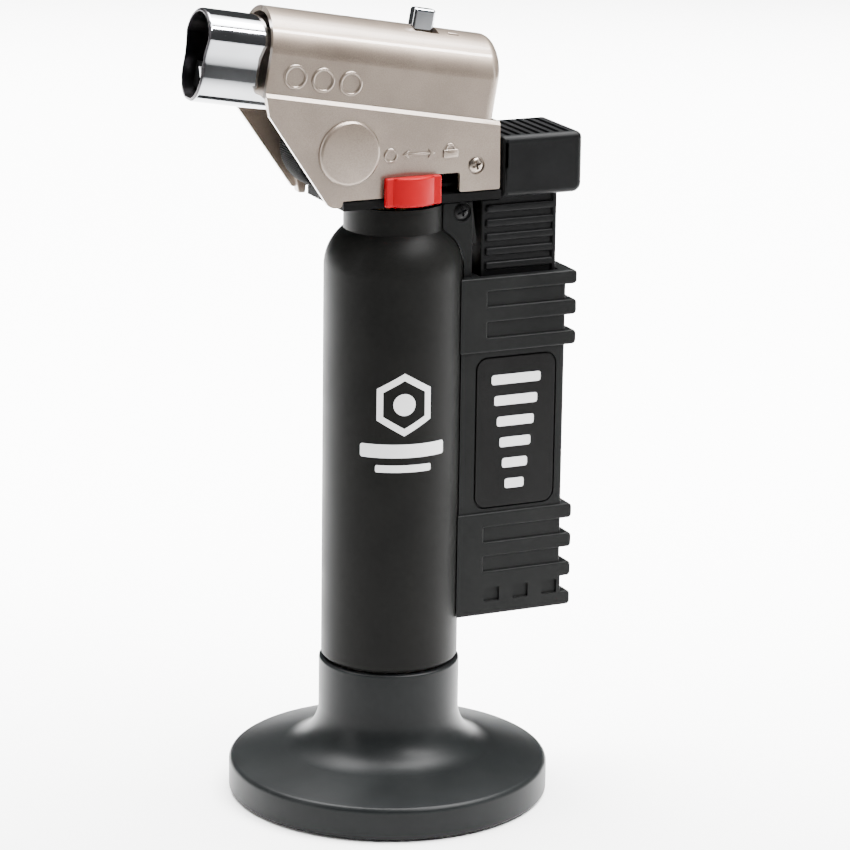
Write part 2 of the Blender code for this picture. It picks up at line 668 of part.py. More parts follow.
# ---- the trigger and the lock slider ----------------------------------------------------------
def make_trigger():
    trigger = box("trigger", (18.3, 35.0), (-8.2, 8.2), (115.9, 127.5), TRIGGER_BLACK, 1.2)
    sleeve = box("trigger_sleeve", (15.2, 30.6), (-6.5, 6.5), (92.0, 115.4))
    root = box("trigger_root", (18.7, 30.6), (-6.5, 6.5), (114.0, 119.0))
    # The ramp pushes the valve lever's tail forward as the trigger comes down.
    ramp = ((15.6, 108.7), (15.0, 108.7), (13.87, 115.4), (15.6, 115.4))
    join(trigger, sleeve, root, side_plate("trigger_ramp", ramp, (-2.0, 2.0)))
    cut(trigger, box("trigger_hollow", (16.7, 29.1), (-5.2, 5.2), (91.0, 108.3)))
    for low in (BAR_Z[0], BAR_Z[0] + TRIGGER_TRAVEL):
        pocket_z = (low - GAP, low + BAR_Z[1] - BAR_Z[0] + GAP)
        cut(trigger, box(f"lock_pocket_{low:.0f}", (17.0, 22.0), (BAR_Y[0] - GAP, BAR_Y[1] + GAP),
                         pocket_z))
    for i in range(7):
        x = 19.6 + 2.0 * i
        cut(trigger, box(f"thumb_groove_{i}", (x, x + 1.0), (-6.8, 6.8), (126.9, 129.0)))
    for i in range(5):
        z = 102.6 + 2.7 * i
        for side in (-1, 1):
            cut(trigger, box(f"sleeve_groove_{i}_{side + 1}", (16.4, 29.4),
                             across(side, 6.0, 8.0), (z, z + 1.0)))
    origin_at(trigger, 23.5, 0, 116.4)


def make_lock_slider():
    face = [(-6.3, -8.95), (-6.3, -10.1)]
    face += arc(-0.6, -4.3, 7.0, -124, -56, 6)
    face += [(5.1, -10.1), (5.1, -8.95)]
    slider = plate("lock_slider", face, 116.3, 121.75, finish=RED)
    neck = box("lock_neck", (-5.3, 4.2), (-9.2, BAR_Y[1]), (118.2, 121.3))
    bar = box("lock_bar", (3.0, 17.7), BAR_Y, BAR_Z)
    join(slider, neck, bar)


# ---- the grip ---------------------------------------------------------------------------------
def ribbed_edge(ribs):
    """Points up the grip's rear edge, out over each rib and in over each gap."""
    points = []
    for low, high in ribs:
        points += [(GRIP_NOTCH, low), (GRIP_REAR, low), (GRIP_REAR, high), (GRIP_NOTCH, high)]
    return points


def comb(ribs, filled):
    """A band's raised face: solid at the front, and one tooth on each rib behind it."""
    front = 8.0
    points = [(front, ribs[0][0])]
    for i, (low, high) in enumerate(ribs):
        if i and not (filled and i == 1):
            points += [(GROOVE_FRONT, low)]
        elif filled and i == 1:
            points += [(GRIP_NOTCH, low)]
        points += [(GRIP_REAR, low), (GRIP_REAR, high)]
        last = i == len(ribs) - 1
        if filled and i == 0:
            points += [(GRIP_NOTCH, high)]
        elif not last:
            points += [(GROOVE_FRONT, high)]
    points.append((front, ribs[-1][1]))
    return points


def make_grip_half(name, side):
    front = 8.0
    rim = [(front, GRIP_Z[0])] + ribbed_edge(LOWER_RIBS)[1:] + ribbed_edge(UPPER_RIBS)[:-1]
    rim.append((front, GRIP_Z[1]))
    grip = side_plate(name, rim, across(side, GAP / 2, GRIP_SKIN), PLASTIC)
    raised = across(side, GRIP_SKIN - 1.0, GRIP_HALF)
    upper = side_plate(f"{name}_upper_band", comb(UPPER_RIBS, False), raised)
    lower = side_plate(f"{name}_lower_band", comb(LOWER_RIBS, True), raised)
    column = box(f"{name}_column", (6.5, 13.2), across(side, GAP / 2, 6.5), (100.2, 115.5))
    join(grip, upper, lower, column)
    cutters = [
        tank_envelope(f"{name}_tank_seat"),
        box(f"{name}_sleeve_space", (14.7, 31.1), (-6.9, 6.9), (84.4, 103.0)),
        box(f"{name}_piezo_space", (19.6, 27.4), (-4.4, 4.4), (61.7, 85.0)),
        box(f"{name}_foot_space", (16.2, 30.2), (-6.2, 6.2), (38.0, 59.5)),
        box(f"{name}_lead_way", (22.0, 25.0), (-1.6, 1.6), (59.0, 62.5)),
        box(f"{name}_tail_space", (12.2, 14.0), (-5.2, 3.6), (101.2, 116.0)),
        box(f"{name}_label_seat", (13.6, 30.5), across(side, 7.3, 9.0), (56.0, 85.7)),
        cylinder(f"{name}_screw_bore", 0.95, *((-5.0, 1.0) if side > 0 else (-1.0, 8.0)),
                 grip_screw_place()),
    ]
    if side > 0:
        cutters.append(box(f"{name}_lead_channel", (13.2, 16.6), (3.6, 5.6), (54.0, 102.0)))
    else:
        cutters.append(cylinder(f"{name}_countersink", 1.85, 5.5, 8.0, grip_screw_place()))
    for i in range(3):
        x = 17.5 + 6.1 * i
        cutters.append(box(f"{name}_small_recess_{i}", (x - 1.6, x + 1.6),
                           across(side, GRIP_SKIN, 9.5), (37.7, 40.4)))
    cut(grip, *cutters)
    seat = across(side, 7.6, GRIP_SKIN + 0.05)
    box(f"label_{name[5:]}", (13.9, 30.2), seat, (56.3, 85.4), GLOSS)


def grip_screw_place():
    return Matrix.Translation((11.0 * MM, 0, 113.6 * MM)) @ ALONG_Y


def make_fasteners():
    cover_screw = Matrix.Translation((13.1 * MM, 0, 122.8 * MM)) @ ALONG_Y
    phillips_screw("cover_screw", cover_screw, 1.4, 0.8, 8.75, -5.0, STEEL)
    phillips_screw("grip_screw", grip_screw_place(), 1.55, 0.7, 6.35, -4.6, STEEL)


make_stand()
make_tank()
make_valve()
make_lever()
make_chassis()
make_cover("cover_near", -1)
make_cover("cover_far", 1)
make_burner()
make_igniter()
make_air_lever()
make_dial()
make_trigger()
make_lock_slider()
make_grip_half("grip_near", -1)
make_grip_half("grip_far", 1)
make_fasteners()
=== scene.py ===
"""Looks for the butane torch: fine meshes, finishes, floor, light and camera round its frame."""

import json
from math import asin, atan2, cos, degrees, pi, radians, sin, tan

import bmesh
import bpy
from mathutils import Matrix, Vector


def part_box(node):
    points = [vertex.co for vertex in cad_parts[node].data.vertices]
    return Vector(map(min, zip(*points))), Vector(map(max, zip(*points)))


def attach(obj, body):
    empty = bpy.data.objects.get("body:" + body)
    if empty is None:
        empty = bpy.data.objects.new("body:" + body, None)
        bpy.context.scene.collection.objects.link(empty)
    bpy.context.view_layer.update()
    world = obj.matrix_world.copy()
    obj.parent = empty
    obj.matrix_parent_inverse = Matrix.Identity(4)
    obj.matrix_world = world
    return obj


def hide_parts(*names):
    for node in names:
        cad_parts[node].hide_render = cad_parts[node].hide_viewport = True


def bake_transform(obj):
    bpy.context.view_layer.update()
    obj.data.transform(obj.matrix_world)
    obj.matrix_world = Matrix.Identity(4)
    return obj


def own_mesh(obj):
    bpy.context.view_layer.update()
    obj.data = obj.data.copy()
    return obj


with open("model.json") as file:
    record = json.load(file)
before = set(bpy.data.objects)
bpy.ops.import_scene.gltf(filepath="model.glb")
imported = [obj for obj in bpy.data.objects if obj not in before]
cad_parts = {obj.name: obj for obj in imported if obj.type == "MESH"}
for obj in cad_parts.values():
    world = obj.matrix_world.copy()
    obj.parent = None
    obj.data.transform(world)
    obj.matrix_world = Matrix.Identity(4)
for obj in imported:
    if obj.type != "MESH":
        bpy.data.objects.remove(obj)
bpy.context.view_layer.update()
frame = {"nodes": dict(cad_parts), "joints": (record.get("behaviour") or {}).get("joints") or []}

# Lengths here are in millimetres, and the helpers below turn them into Blender's metres.
MM = 0.001


# ---- places taken from the frame ----
def limits(node):
    """The lowest and highest corners of a CAD node, in millimetres."""
    low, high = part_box(node)
    return low / MM, high / MM


JOINTS = {joint["name"]: joint for joint in frame["joints"]}
BURNER_AXIS = Vector(JOINTS["air_lever_turn"]["axis"])
BURNER_ORIGIN = Vector(JOINTS["air_lever_turn"]["pos_m"]) / MM
BARREL_TILT = atan2(-BURNER_AXIS.z, BURNER_AXIS.x)
DIAL_X, _, DIAL_Z = Vector(JOINTS["flow_dial_turn"]["pos_m"]) / MM

TANK_LOW, TANK_HIGH = limits("tank_shell")
GRIP_LOW, GRIP_HIGH = limits("grip_near")
TRIGGER_LOW, TRIGGER_HIGH = limits("trigger")
LOCK_LOW, LOCK_HIGH = limits("lock_slider")

# The stand's collar meets the tank at the seam. The shoulder's round runs into a straight neck.
STAND_R = limits("stand_shell")[1].x
TANK_R = TANK_HIGH.x
SEAM_Z = TANK_LOW.z
COLLAR_R = TANK_R + 0.4
NECK_R = 9.4
NECK_BASE_Z = 110.45
SHOULDER_Z = 103.0
SHOULDER_R = 9.5
SHOULDER_CENTRE = TANK_R - SHOULDER_R

# The barrel's ends, its half width, the arch's springing line and the ledge are measured along
# the burner's axis and above it. The side plates below the ledge stand upright.
BARREL_FRONT, BARREL_REAR = -28.0, 18.0
BARREL_HALF = 7.7
BARREL_ARCH = -0.4
LEDGE = -7.5
COVER_HALF = 8.6
COVER_WALL = 1.0
COVER_BOTTOM = 117.9
COVER_CORNER_Z = 116.75
COVER_REAR = 17.6
COVER_SCREW = (12.7, -COVER_HALF, 122.7)
# A cover or a grip half stops this far from the middle plane.
HALF_GAP = 0.08

# The grip's ribs reach its rear face, and the notches between them are cut back from it.
GRIP_HALF = -GRIP_LOW.y
GRIP_SKIN = 8.0
GRIP_FRONT = 8.0
GRIP_REAR = GRIP_HIGH.x
GRIP_NOTCH = 32.2
GRIP_BOTTOM = GRIP_LOW.z
GROOVE_FRONT = 15.7
UPPER_RIBS = ((86.7, 89.5), (92.5, 95.5), (98.4, 101.1))
LOWER_RIBS = ((35.0, 37.8), (40.8, 43.7), (46.6, 49.5), (52.4, 55.3))
COLUMN_FACE = 6.5
GRIP_SCREW_X, GRIP_SCREW_Z = 11.0, 113.6

# The lock's bar enters one of two pockets in the trigger's front: the lower one with the trigger
# up, and the upper one with the trigger pressed.
LOCK_BAR = (118.5, 119.3)
POCKET_ROOM = 0.3
TRIGGER_TRAVEL = JOINTS["trigger_press"]["range_m"][1] / MM


# ---- camera, floor and light ----
# The camera's lens is in millimetres, for Blender's own sensor width.
CAMERA_AZIMUTH = radians(-24.78)
CAMERA_ELEVATION = radians(15.53)
CAMERA_ROLL = radians(0.80)
CAMERA_TARGET = Vector((5.77, -2.66, 72.2))
CAMERA_DISTANCE = 714.5
CAMERA_LENS = 160.6


def make_camera():
    """A camera that looks at the target from its azimuth and elevation, rolled a little."""
    back = Vector((sin(CAMERA_AZIMUTH) * cos(CAMERA_ELEVATION),
                   -cos(CAMERA_AZIMUTH) * cos(CAMERA_ELEVATION), sin(CAMERA_ELEVATION)))
    right = (-back).cross(Vector((0, 0, 1))).normalized()
    up = right.cross(-back)
    turned_right = right * cos(CAMERA_ROLL) + up * sin(CAMERA_ROLL)
    turned_up = up * cos(CAMERA_ROLL) - right * sin(CAMERA_ROLL)
    place = (CAMERA_TARGET + back * CAMERA_DISTANCE) * MM
    data = bpy.data.cameras.new("camera")
    data.lens = CAMERA_LENS
    data.clip_start = 0.05
    camera = link("camera", data)
    axes = Matrix((turned_right, turned_up, back)).transposed()
    camera.matrix_world = Matrix.Translation(place) @ axes.to_4x4()
    bpy.context.scene.camera = camera


# The floor and the lights are in metres. Each light is aimed at a spot on the torch's axis.
FLOOR_HALF = 6.0
HEAD_SPOT = (0.0, 0.0, 0.13)
TANK_SPOT = (0.0, 0.0, 0.08)


def area_light(name, place, aim, size, power, turn=0.0, beam=180):
    """A softbox of so many watts. A beam under 180 degrees stands for a grid on its front."""
    data = bpy.data.lights.new(name, "AREA")
    data.shape = "RECTANGLE"
    data.size, data.size_y = size
    data.energy = power
    data.spread = radians(beam)
    light = link(name, data)
    light.location = place
    facing = (Vector(aim) - Vector(place)).to_track_quat("-Z", "Y").to_matrix()
    light.rotation_euler = (facing @ Matrix.Rotation(turn, 3, "Z")).to_euler()


def make_stage():
    world = bpy.data.worlds.new("studio")
    bpy.context.scene.world = world
    world.use_nodes = True
    background = world.node_tree.nodes["Background"]
    background.inputs["Color"].default_value = (0.93, 0.94, 0.95, 1)
    background.inputs["Strength"].default_value = 0.10
    # A wide softbox with a grid hangs over the floor behind the torch, and leaves the near side
    # in the shade.
    area_light("back_softbox", (0.205, 0.445, 0.45), (0.205, 0.445, 0.0), (2.2, 1.05), 92.0,
               CAMERA_AZIMUTH, 84)
    area_light("upper_softbox", (0.29, -0.20, 0.80), HEAD_SPOT, (0.60, 0.22), 6.5)
    area_light("shoulder_strip", (0.33, -0.45, 0.73), HEAD_SPOT, (0.60, 0.08), 14.0)
    area_light("left_strip", (-0.62, -0.05, 0.30), TANK_SPOT, (0.14, 0.60), 2.2)
    area_light("right_strip", (0.50, -0.45, 0.22), TANK_SPOT, (0.08, 0.50), 0.8)

    shape = bmesh.new()
    bmesh.ops.create_grid(shape, x_segments=1, y_segments=1, size=FLOOR_HALF)
    floor = from_bmesh("floor", shape, plain("floor_paper", (0.93, 0.93, 0.925), 0.8))


# ---- materials ----
def plain(name, colour, roughness, metallic=0.0):
    """An even finish."""
    made = bpy.data.materials.new(name)
    made.use_nodes = True
    shader = made.node_tree.nodes["Principled BSDF"]
    shader.inputs["Base Color"].default_value = (*colour, 1)
    shader.inputs["Roughness"].default_value = roughness
    shader.inputs["Metallic"].default_value = metallic
    return made


def noise(tree, scale, detail=2.0, squash=(1, 1, 1)):
    """Noise on the object's own coordinates, in cycles to the metre."""
    spot = tree.nodes.new("ShaderNodeTexCoord")
    stretch = tree.nodes.new("ShaderNodeMapping")
    stretch.inputs["Scale"].default_value = squash
    texture = tree.nodes.new("ShaderNodeTexNoise")
    texture.inputs["Scale"].default_value = scale
    texture.inputs["Detail"].default_value = detail
    tree.links.new(spot.outputs["Object"], stretch.inputs["Vector"])
    tree.links.new(stretch.outputs["Vector"], texture.inputs["Vector"])
    return texture.outputs["Fac"]


def ranged(tree, value, low, high, spread=(0.3, 0.7)):
    """A value from noise, spread over low to high."""
    node = tree.nodes.new("ShaderNodeMapRange")
    node.inputs["From Min"].default_value = spread[0]
    node.inputs["From Max"].default_value = spread[1]
    node.inputs["To Min"].default_value = low
    node.inputs["To Max"].default_value = high
    tree.links.new(value, node.inputs["Value"])
    return node.outputs["Result"]


def mixed(tree, value, first, second):
    """A colour between two, by a value from 0 to 1."""
    node = tree.nodes.new("ShaderNodeMix")
    node.data_type = "RGBA"
    node.inputs["A"].default_value = (*first, 1)
    node.inputs["B"].default_value = (*second, 1)
    tree.links.new(value, node.inputs["Factor"])
    return node.outputs["Result"]


def surface(name, dark, light, roughness, metallic=0.0, grain=4000, bump=0.02, strength=0.3,
            cloud=90, coat=0.0, coat_roughness=0.1, specular=0.5, squash=(1, 1, 1), speckle=0.0):
    """A finish with a slow change of colour and roughness, a fine bump grain and a clear coat.

    The grain and the cloud are noise scales in cycles to the metre, and the bump is in mm.
    """
    made = plain(name, light, roughness[0], metallic)
    tree = made.node_tree
    shader = tree.nodes["Principled BSDF"]
    shader.inputs["Coat Weight"].default_value = coat
    shader.inputs["Coat Roughness"].default_value = coat_roughness
    shader.inputs["Specular IOR Level"].default_value = specular
    slow = noise(tree, cloud, 3.0)
    fine = noise(tree, grain, 2.0, squash)
    blend = ranged(tree, slow, 0.0, 1.0)
    if speckle:
        flake = ranged(tree, fine, -speckle, speckle, (0.35, 0.65))
        total = tree.nodes.new("ShaderNodeMath")
        total.operation = "ADD"
        total.use_clamp = True
        tree.links.new(blend, total.inputs[0])
        tree.links.new(flake, total.inputs[1])
        blend = total.outputs["Value"]
    tree.links.new(mixed(tree, blend, dark, light), shader.inputs["Base Color"])
    tree.links.new(ranged(tree, slow, *roughness), shader.inputs["Roughness"])
    if bump:
        relief = tree.nodes.new("ShaderNodeBump")
        relief.inputs["Strength"].default_value = strength
        relief.inputs["Distance"].default_value = bump * MM
        tree.links.new(fine, relief.inputs["Height"])
        tree.links.new(relief.outputs["Normal"], shader.inputs["Normal"])
    return made


STAND_PLASTIC = surface("stand_plastic", (0.0046, 0.0052, 0.0054), (0.0068, 0.0076, 0.0078),
                        (0.36, 0.42), grain=2500, bump=0.01, strength=0.15, specular=0.1)
TANK_COAT = surface("tank_coat", (0.0042, 0.0042, 0.004), (0.006, 0.006, 0.0056), (0.40, 0.47),
                    grain=3500, bump=0.03, specular=0.045)
GRIP_PLASTIC = surface("grip_plastic", (0.0042, 0.0045, 0.0045), (0.0065, 0.0068, 0.0067),
                       (0.40, 0.50), grain=5000, bump=0.04, strength=0.45, specular=0.06)
TRIGGER_PLASTIC = surface("trigger_plastic", (0.0032, 0.0033, 0.0034), (0.005, 0.0052, 0.0054),
                          (0.38, 0.46), specular=0.06)
DIAL_BLACK = surface("dial_black", (0.002, 0.002, 0.002), (0.004, 0.004, 0.004), (0.6, 0.7),
                     specular=0.05)
COVER_PAINT = surface("cover_paint", (0.175, 0.138, 0.109), (0.23, 0.184, 0.147), (0.31, 0.36),
                      metallic=0.75, grain=7000, bump=0.008, strength=0.25, coat=0.8,
                      coat_roughness=0.035, speckle=0.5)
CHROME = surface("chrome", (0.44, 0.45, 0.47), (0.50, 0.51, 0.53), (0.04, 0.08), metallic=1.0,
                 grain=300, bump=0.01, strength=0.05, cloud=150)
SOOTY_STEEL = surface("burner_steel", (0.10, 0.085, 0.08), (0.32, 0.29, 0.27), (0.35, 0.6),
                      metallic=1.0, grain=1500, cloud=400)
STEEL = surface("steel", (0.50, 0.50, 0.51), (0.60, 0.60, 0.61), (0.22, 0.34), metallic=1.0,
                grain=1800, bump=0.008, squash=(1, 1, 8))
SCREW_COAT = surface("screw_coat", (0.20, 0.168, 0.138), (0.29, 0.245, 0.205), (0.22, 0.32),
                     metallic=0.9, grain=2500, bump=0.01)
BLACK_STEEL = surface("black_steel", (0.006, 0.006, 0.006), (0.014, 0.014, 0.014), (0.32, 0.45),
                      metallic=0.5, grain=2500, bump=0.01, specular=0.15)
BRASS = surface("brass", (0.60, 0.42, 0.19), (0.75, 0.56, 0.28), (0.22, 0.36), metallic=1.0,
                grain=1500, bump=0.008, squash=(1, 1, 6))
NYLON = surface("nylon", (0.66, 0.65, 0.61), (0.76, 0.75, 0.71), (0.45, 0.6), grain=1200)
WICK = surface("wick", (0.68, 0.65, 0.58), (0.84, 0.82, 0.76), (0.85, 0.95), grain=2600, bump=0.1,
               strength=0.8)
CERAMIC = surface("ceramic", (0.78, 0.76, 0.70), (0.88, 0.87, 0.83), (0.18, 0.3), grain=900)
RUBBER = surface("rubber", (0.016, 0.016, 0.016), (0.03, 0.03, 0.03), (0.7, 0.85), grain=2200,
                 bump=0.05, strength=0.5)
LOCK_RED = surface("lock_red", (0.22, 0.0005, 0.003), (0.275, 0.0008, 0.0045), (0.32, 0.40),
                   grain=2200, bump=0.012, specular=0.08)
LABEL_GLOSS = surface("label_gloss", (0.004, 0.004, 0.004), (0.006, 0.006, 0.006), (0.10, 0.16),
                      grain=900, bump=0.004, strength=0.1, specular=0.05)
# Painted shade: a dark chrome for the guard's lip and bore, standing in for the shade inside its
# opening.
BORE_PAINTED_SHADE = surface("guard_bore", (0.03, 0.028, 0.03), (0.10, 0.095, 0.10), (0.25, 0.4), metallic=1.0,
               grain=900)
PRINT = surface("light_print", (0.56, 0.56, 0.56), (0.62, 0.62, 0.62), (0.4, 0.5), grain=3000,
                bump=0.01)

# The finishes of the CAD nodes that are kept as they are.
CAD_FINISH = {
    "stand_ballast_disc": STEEL, "stand_foot_pad": RUBBER, "tank_bottom_cap": NYLON,
    "cap_seal": RUBBER, "fill_valve_body": BRASS, "fill_stem": BRASS, "feed_wick": WICK,
    "valve_holder": BRASS, "holder_seal": RUBBER, "valve_body": BRASS, "valve_nut": BRASS,
    "valve_stem": STEEL, "valve_lever": BLACK_STEEL, "lever_pin": STEEL, "head_chassis": DIAL_BLACK,
    "burner_tube": SOOTY_STEEL, "flame_holder": SOOTY_STEEL, "gas_jet": BRASS,
    "electrode_insulator": CERAMIC, "electrode": STEEL, "ignition_lead": RUBBER,
    "piezo_body": NYLON, "piezo_plunger": NYLON,
}

# The barrel's own axes: X back along the burner's axis, and Z up from it.
BARREL = Matrix.Translation(BURNER_ORIGIN * MM) @ Matrix.Rotation(BARREL_TILT, 4, "Y")
ALONG_X = Matrix.Rotation(pi / 2, 4, "Y")
# Takes an XY outline with its thickness along Z to an XZ outline with its thickness along -Y.
SIDE = Matrix(((1, 0, 0, 0), (0, 0, -1, 0), (0, 1, 0, 0), (0, 0, 0, 1)))


# ---- mesh helpers ----
def link(name, data, finish=None):
    """Puts an object in the scene, with its finish if it has one."""
    made = bpy.data.objects.new(name, data)
    bpy.context.scene.collection.objects.link(made)
    if finish:
        data.materials.append(finish)
    return made


def from_bmesh(name, shape, finish=None, place=None):
    """Makes an object of a bmesh, which is used up."""
    mesh = bpy.data.meshes.new(name)
    shape.to_mesh(mesh)
    shape.free()
    made = link(name, mesh, finish)
    made.matrix_world = place or Matrix()
    return made


def weld(mesh, distance):
    """Joins the points of a mesh that are nearer than distance, in metres."""
    shape = bmesh.new()
    shape.from_mesh(mesh)
    bmesh.ops.remove_doubles(shape, verts=shape.verts, dist=distance)
    shape.to_mesh(mesh)
    shape.free()


def face_away(shape, centre):
    """Turns the faces of a bmesh so that the first of them looks away from the centre."""
    bmesh.ops.recalc_face_normals(shape, faces=shape.faces)
    shape.faces.ensure_lookup_table()
    first = shape.faces[0]
    if first.normal.dot(first.calc_center_median() - centre) < 0:
        bmesh.ops.reverse_faces(shape, faces=shape.faces)


def apply_all(piece):
    """Bakes the modifiers into the mesh."""
    bpy.context.view_layer.update()
    seen = piece.evaluated_get(bpy.context.evaluated_depsgraph_get())
    mesh = bpy.data.meshes.new_from_object(seen)
    piece.modifiers.clear()
    piece.data = mesh
    return piece


def smooth(piece, angle=32, weighted=True):
    """Smooth shading with sharp creases, and large flats kept flat."""
    apply_all(piece)
    piece.data.shade_smooth()
    piece.data.set_sharp_from_angle(angle=radians(angle))
    if weighted:
        shading = piece.modifiers.new("weighted normals", "WEIGHTED_NORMAL")
        shading.keep_sharp = True
        shading.weight = 90
        apply_all(piece)
    return piece


def rings(name, loops, finish, place=None, closed=False):
    """A skin over loops of the same number of points, capped at its ends or closed on itself."""
    shape = bmesh.new()
    rows = [[shape.verts.new(Vector(point) * MM) for point in loop] for loop in loops]
    pairs = list(zip(rows, rows[1:]))
    if closed:
        pairs.append((rows[-1], rows[0]))
    for row, following in pairs:
        for i in range(len(row)):
            j = (i + 1) % len(row)
            shape.faces.new((row[i], row[j], following[j], following[i]))
    if not closed:
        shape.faces.new(rows[0])
        shape.faces.new(rows[-1])
    bmesh.ops.recalc_face_normals(shape, faces=shape.faces)
    return from_bmesh(name, shape, finish, place)


def turned(name, profile, finish, segments=128, ring=True, place=None):
    """A turned piece from its (radius, height) profile.

    A ring's profile closes on itself. The others start and end on the axis.
    """
    shape = bmesh.new()
    rows = []
    for i in range(segments):
        angle = 2 * pi * i / segments
        rows.append([shape.verts.new(Vector((r * cos(angle), r * sin(angle), z)) * MM)
                     for r, z in profile])
    last = len(profile) if ring else len(profile) - 1
    for i in range(segments):
        row, following = rows[i], rows[(i + 1) % segments]
        for j in range(last):
            k = (j + 1) % len(profile)
            shape.faces.new((row[j], row[k], following[k], following[j]))
    bmesh.ops.remove_doubles(shape, verts=shape.verts, dist=1e-7)
    bmesh.ops.recalc_face_normals(shape, faces=shape.faces)
    return from_bmesh(name, shape, finish, place)


def rod(name, radius, low, high, place, segments):
    """A plain cylinder on its own Z axis."""
    profile = [(0, high), (radius, high), (radius, low), (0, low)]
    return turned(name, profile, None, segments, ring=False, place=place)


def arc(centre_a, centre_b, radius, start, end, steps):
    """Points on a circle's arc between two angles in degrees."""
    return [(centre_a + radius * cos(radians(start + (end - start) * i / steps)),
             centre_b + radius * sin(radians(start + (end - start) * i / steps)))
            for i in range(steps + 1)]


def rounded(points, radius, steps=4):
    """A closed outline with its corners rounded. Radius is one number, or one for each corner."""
    made = []
    count = len(points)
    for i in range(count):
        r = radius[i] if isinstance(radius, (list, tuple)) else radius
        here = Vector(points[i])
        back = Vector(points[i - 1]) - here
        ahead = Vector(points[(i + 1) % count]) - here
        half = back.angle(ahead) / 2
        if r <= 0 or half > radians(89):
            made.append(tuple(here))
            continue
        reach = min(r / tan(half), back.length * 0.48, ahead.length * 0.48)
        r = reach * tan(half)
        centre = here + (back.normalized() + ahead.normalized()).normalized() * (r / sin(half))
        first = here + back.normalized() * reach - centre
        last = here + ahead.normalized() * reach - centre
        sweep = atan2(first.x * last.y - first.y * last.x, first.dot(last))
        for j in range(steps + 1):
            spun = Matrix.Rotation(sweep * j / steps, 2) @ first
            made.append(tuple(centre + spun))
    return made


def area_of(points):
    """The signed area of an outline, above zero when it runs anticlockwise."""
    return sum(a[0] * b[1] - b[0] * a[1] for a, b in zip(points, points[1:] + points[:1])) / 2


def inset(points, distance):
    """The outline moved inwards by distance."""
    way = 1 if area_of(points) > 0 else -1
    made = []
    for i in range(len(points)):
        before = (Vector(points[i]) - Vector(points[i - 1])).normalized()
        after = (Vector(points[(i + 1) % len(points)]) - Vector(points[i])).normalized()
        normal = Vector((-before.y - after.y, before.x + after.x)).normalized() * way
        edge = Vector((-before.y, before.x)) * way
        made.append(tuple(Vector(points[i]) + normal * distance / max(normal.dot(edge), 0.4)))
    return made


def slab(name, outline, low, high, finish=None, place=None, edge=0.25, steps=3, ends=(1, 1)):
    """A flat outline with thickness from low to high, and rounded edges on the ends wanted."""
    def end(level, way, wanted):
        if not wanted:
            return [[(a, b, level) for a, b in outline]]
        loops = []
        for i in range(steps + 1):
            angle = pi / 2 * i / steps
            shrunk = inset(outline, edge * (1 - sin(angle)))
            loops.append([(a, b, level + way * edge * (1 - cos(angle))) for a, b in shrunk])
        return loops

    loops = end(low, 1, ends[0]) + end(high, -1, ends[1])[::-1]
    return rings(name, loops, finish, place)


def side_slab(name, outline, y, finish=None, **more):
    """A slab with an XZ outline between the limits y."""
    low, high = sorted(y)
    ends = more.pop("ends", (1, 1))
    return slab(name, outline, -high, -low, finish, SIDE, ends=ends[::-1], **more)


def rectangle(a, b):
    """The corners of the rectangle between two pairs of limits."""
    return ((a[0], b[0]), (a[1], b[0]), (a[1], b[1]), (a[0], b[1]))


def block(name, x, y, z, finish=None, edge=0.3, corner=0.3, place=None, steps=3):
    """A box with all its edges rounded."""
    outline = rounded(rectangle(x, y), corner, steps)
    return slab(name, outline, *z, finish, place, edge=edge, steps=steps)


def crate(x, y, z):
    """A plain box to cut with."""
    return slab("cutter", rectangle(x, y), *z, ends=(0, 0))


def use_boolean(piece, operation, *others):
    """Applies each of the others to the piece in turn, and removes it."""
    for other in others:
        step = piece.modifiers.new("boolean", "BOOLEAN")
        step.operation = operation
        step.object = other
        apply_all(piece)
        if not piece.data.polygons:
            raise RuntimeError(f"{piece.name} is empty after {other.name}")
        bpy.data.objects.remove(other)


def cut(piece, *others):
    use_boolean(piece, "DIFFERENCE", *others)


def join(piece, *others):
    use_boolean(piece, "UNION", *others)


def merge(name, pieces, finish):
    """Puts several meshes into one object, each where it is."""
    shape = bmesh.new()
    for piece in pieces:
        mesh = piece.data.copy()
        mesh.transform(piece.matrix_world)
        shape.from_mesh(mesh)
        bpy.data.meshes.remove(mesh)
        bpy.data.objects.remove(piece)
    return from_bmesh(name, shape, finish)


def tube(name, points, radius, finish, sides=3):
    """Round wire through the points."""
    curve = bpy.data.curves.new(name, "CURVE")
    curve.dimensions = "3D"
    curve.bevel_depth = radius * MM
    curve.bevel_resolution = sides
    curve.use_fill_caps = True
    line = curve.splines.new("POLY")
    line.points.add(len(points) - 1)
    for point, there in zip(line.points, points):
        point.co = (*(Vector(there) * MM), 1)
    made = link(name, curve)
    bpy.context.view_layer.update()
    seen = made.evaluated_get(bpy.context.evaluated_depsgraph_get())
    mesh = bpy.data.meshes.new_from_object(seen)
    bpy.data.objects.remove(made)
    weld(mesh, 1e-6)
    mesh.materials.clear()
    piece = link(name, mesh, finish)
    piece.data.shade_smooth()
    piece.data.set_sharp_from_angle(angle=radians(50))
    return piece


def near_side(x, y, z):
    """A place on the torch's near side, with its own Z axis pointing straight out."""
    return Matrix.Translation(Vector((x, y, z)) * MM) @ Matrix.Rotation(pi / 2, 4, "X")


def done(piece, body, slot, *nodes):
    """Fixes a piece to its body, and hides the CAD nodes that it stands for. The slot is not used.
    """
    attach(piece, body)
    if nodes:
        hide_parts(*nodes)


# ---- the stand and the tank ----
LARGE_SIDES = 192


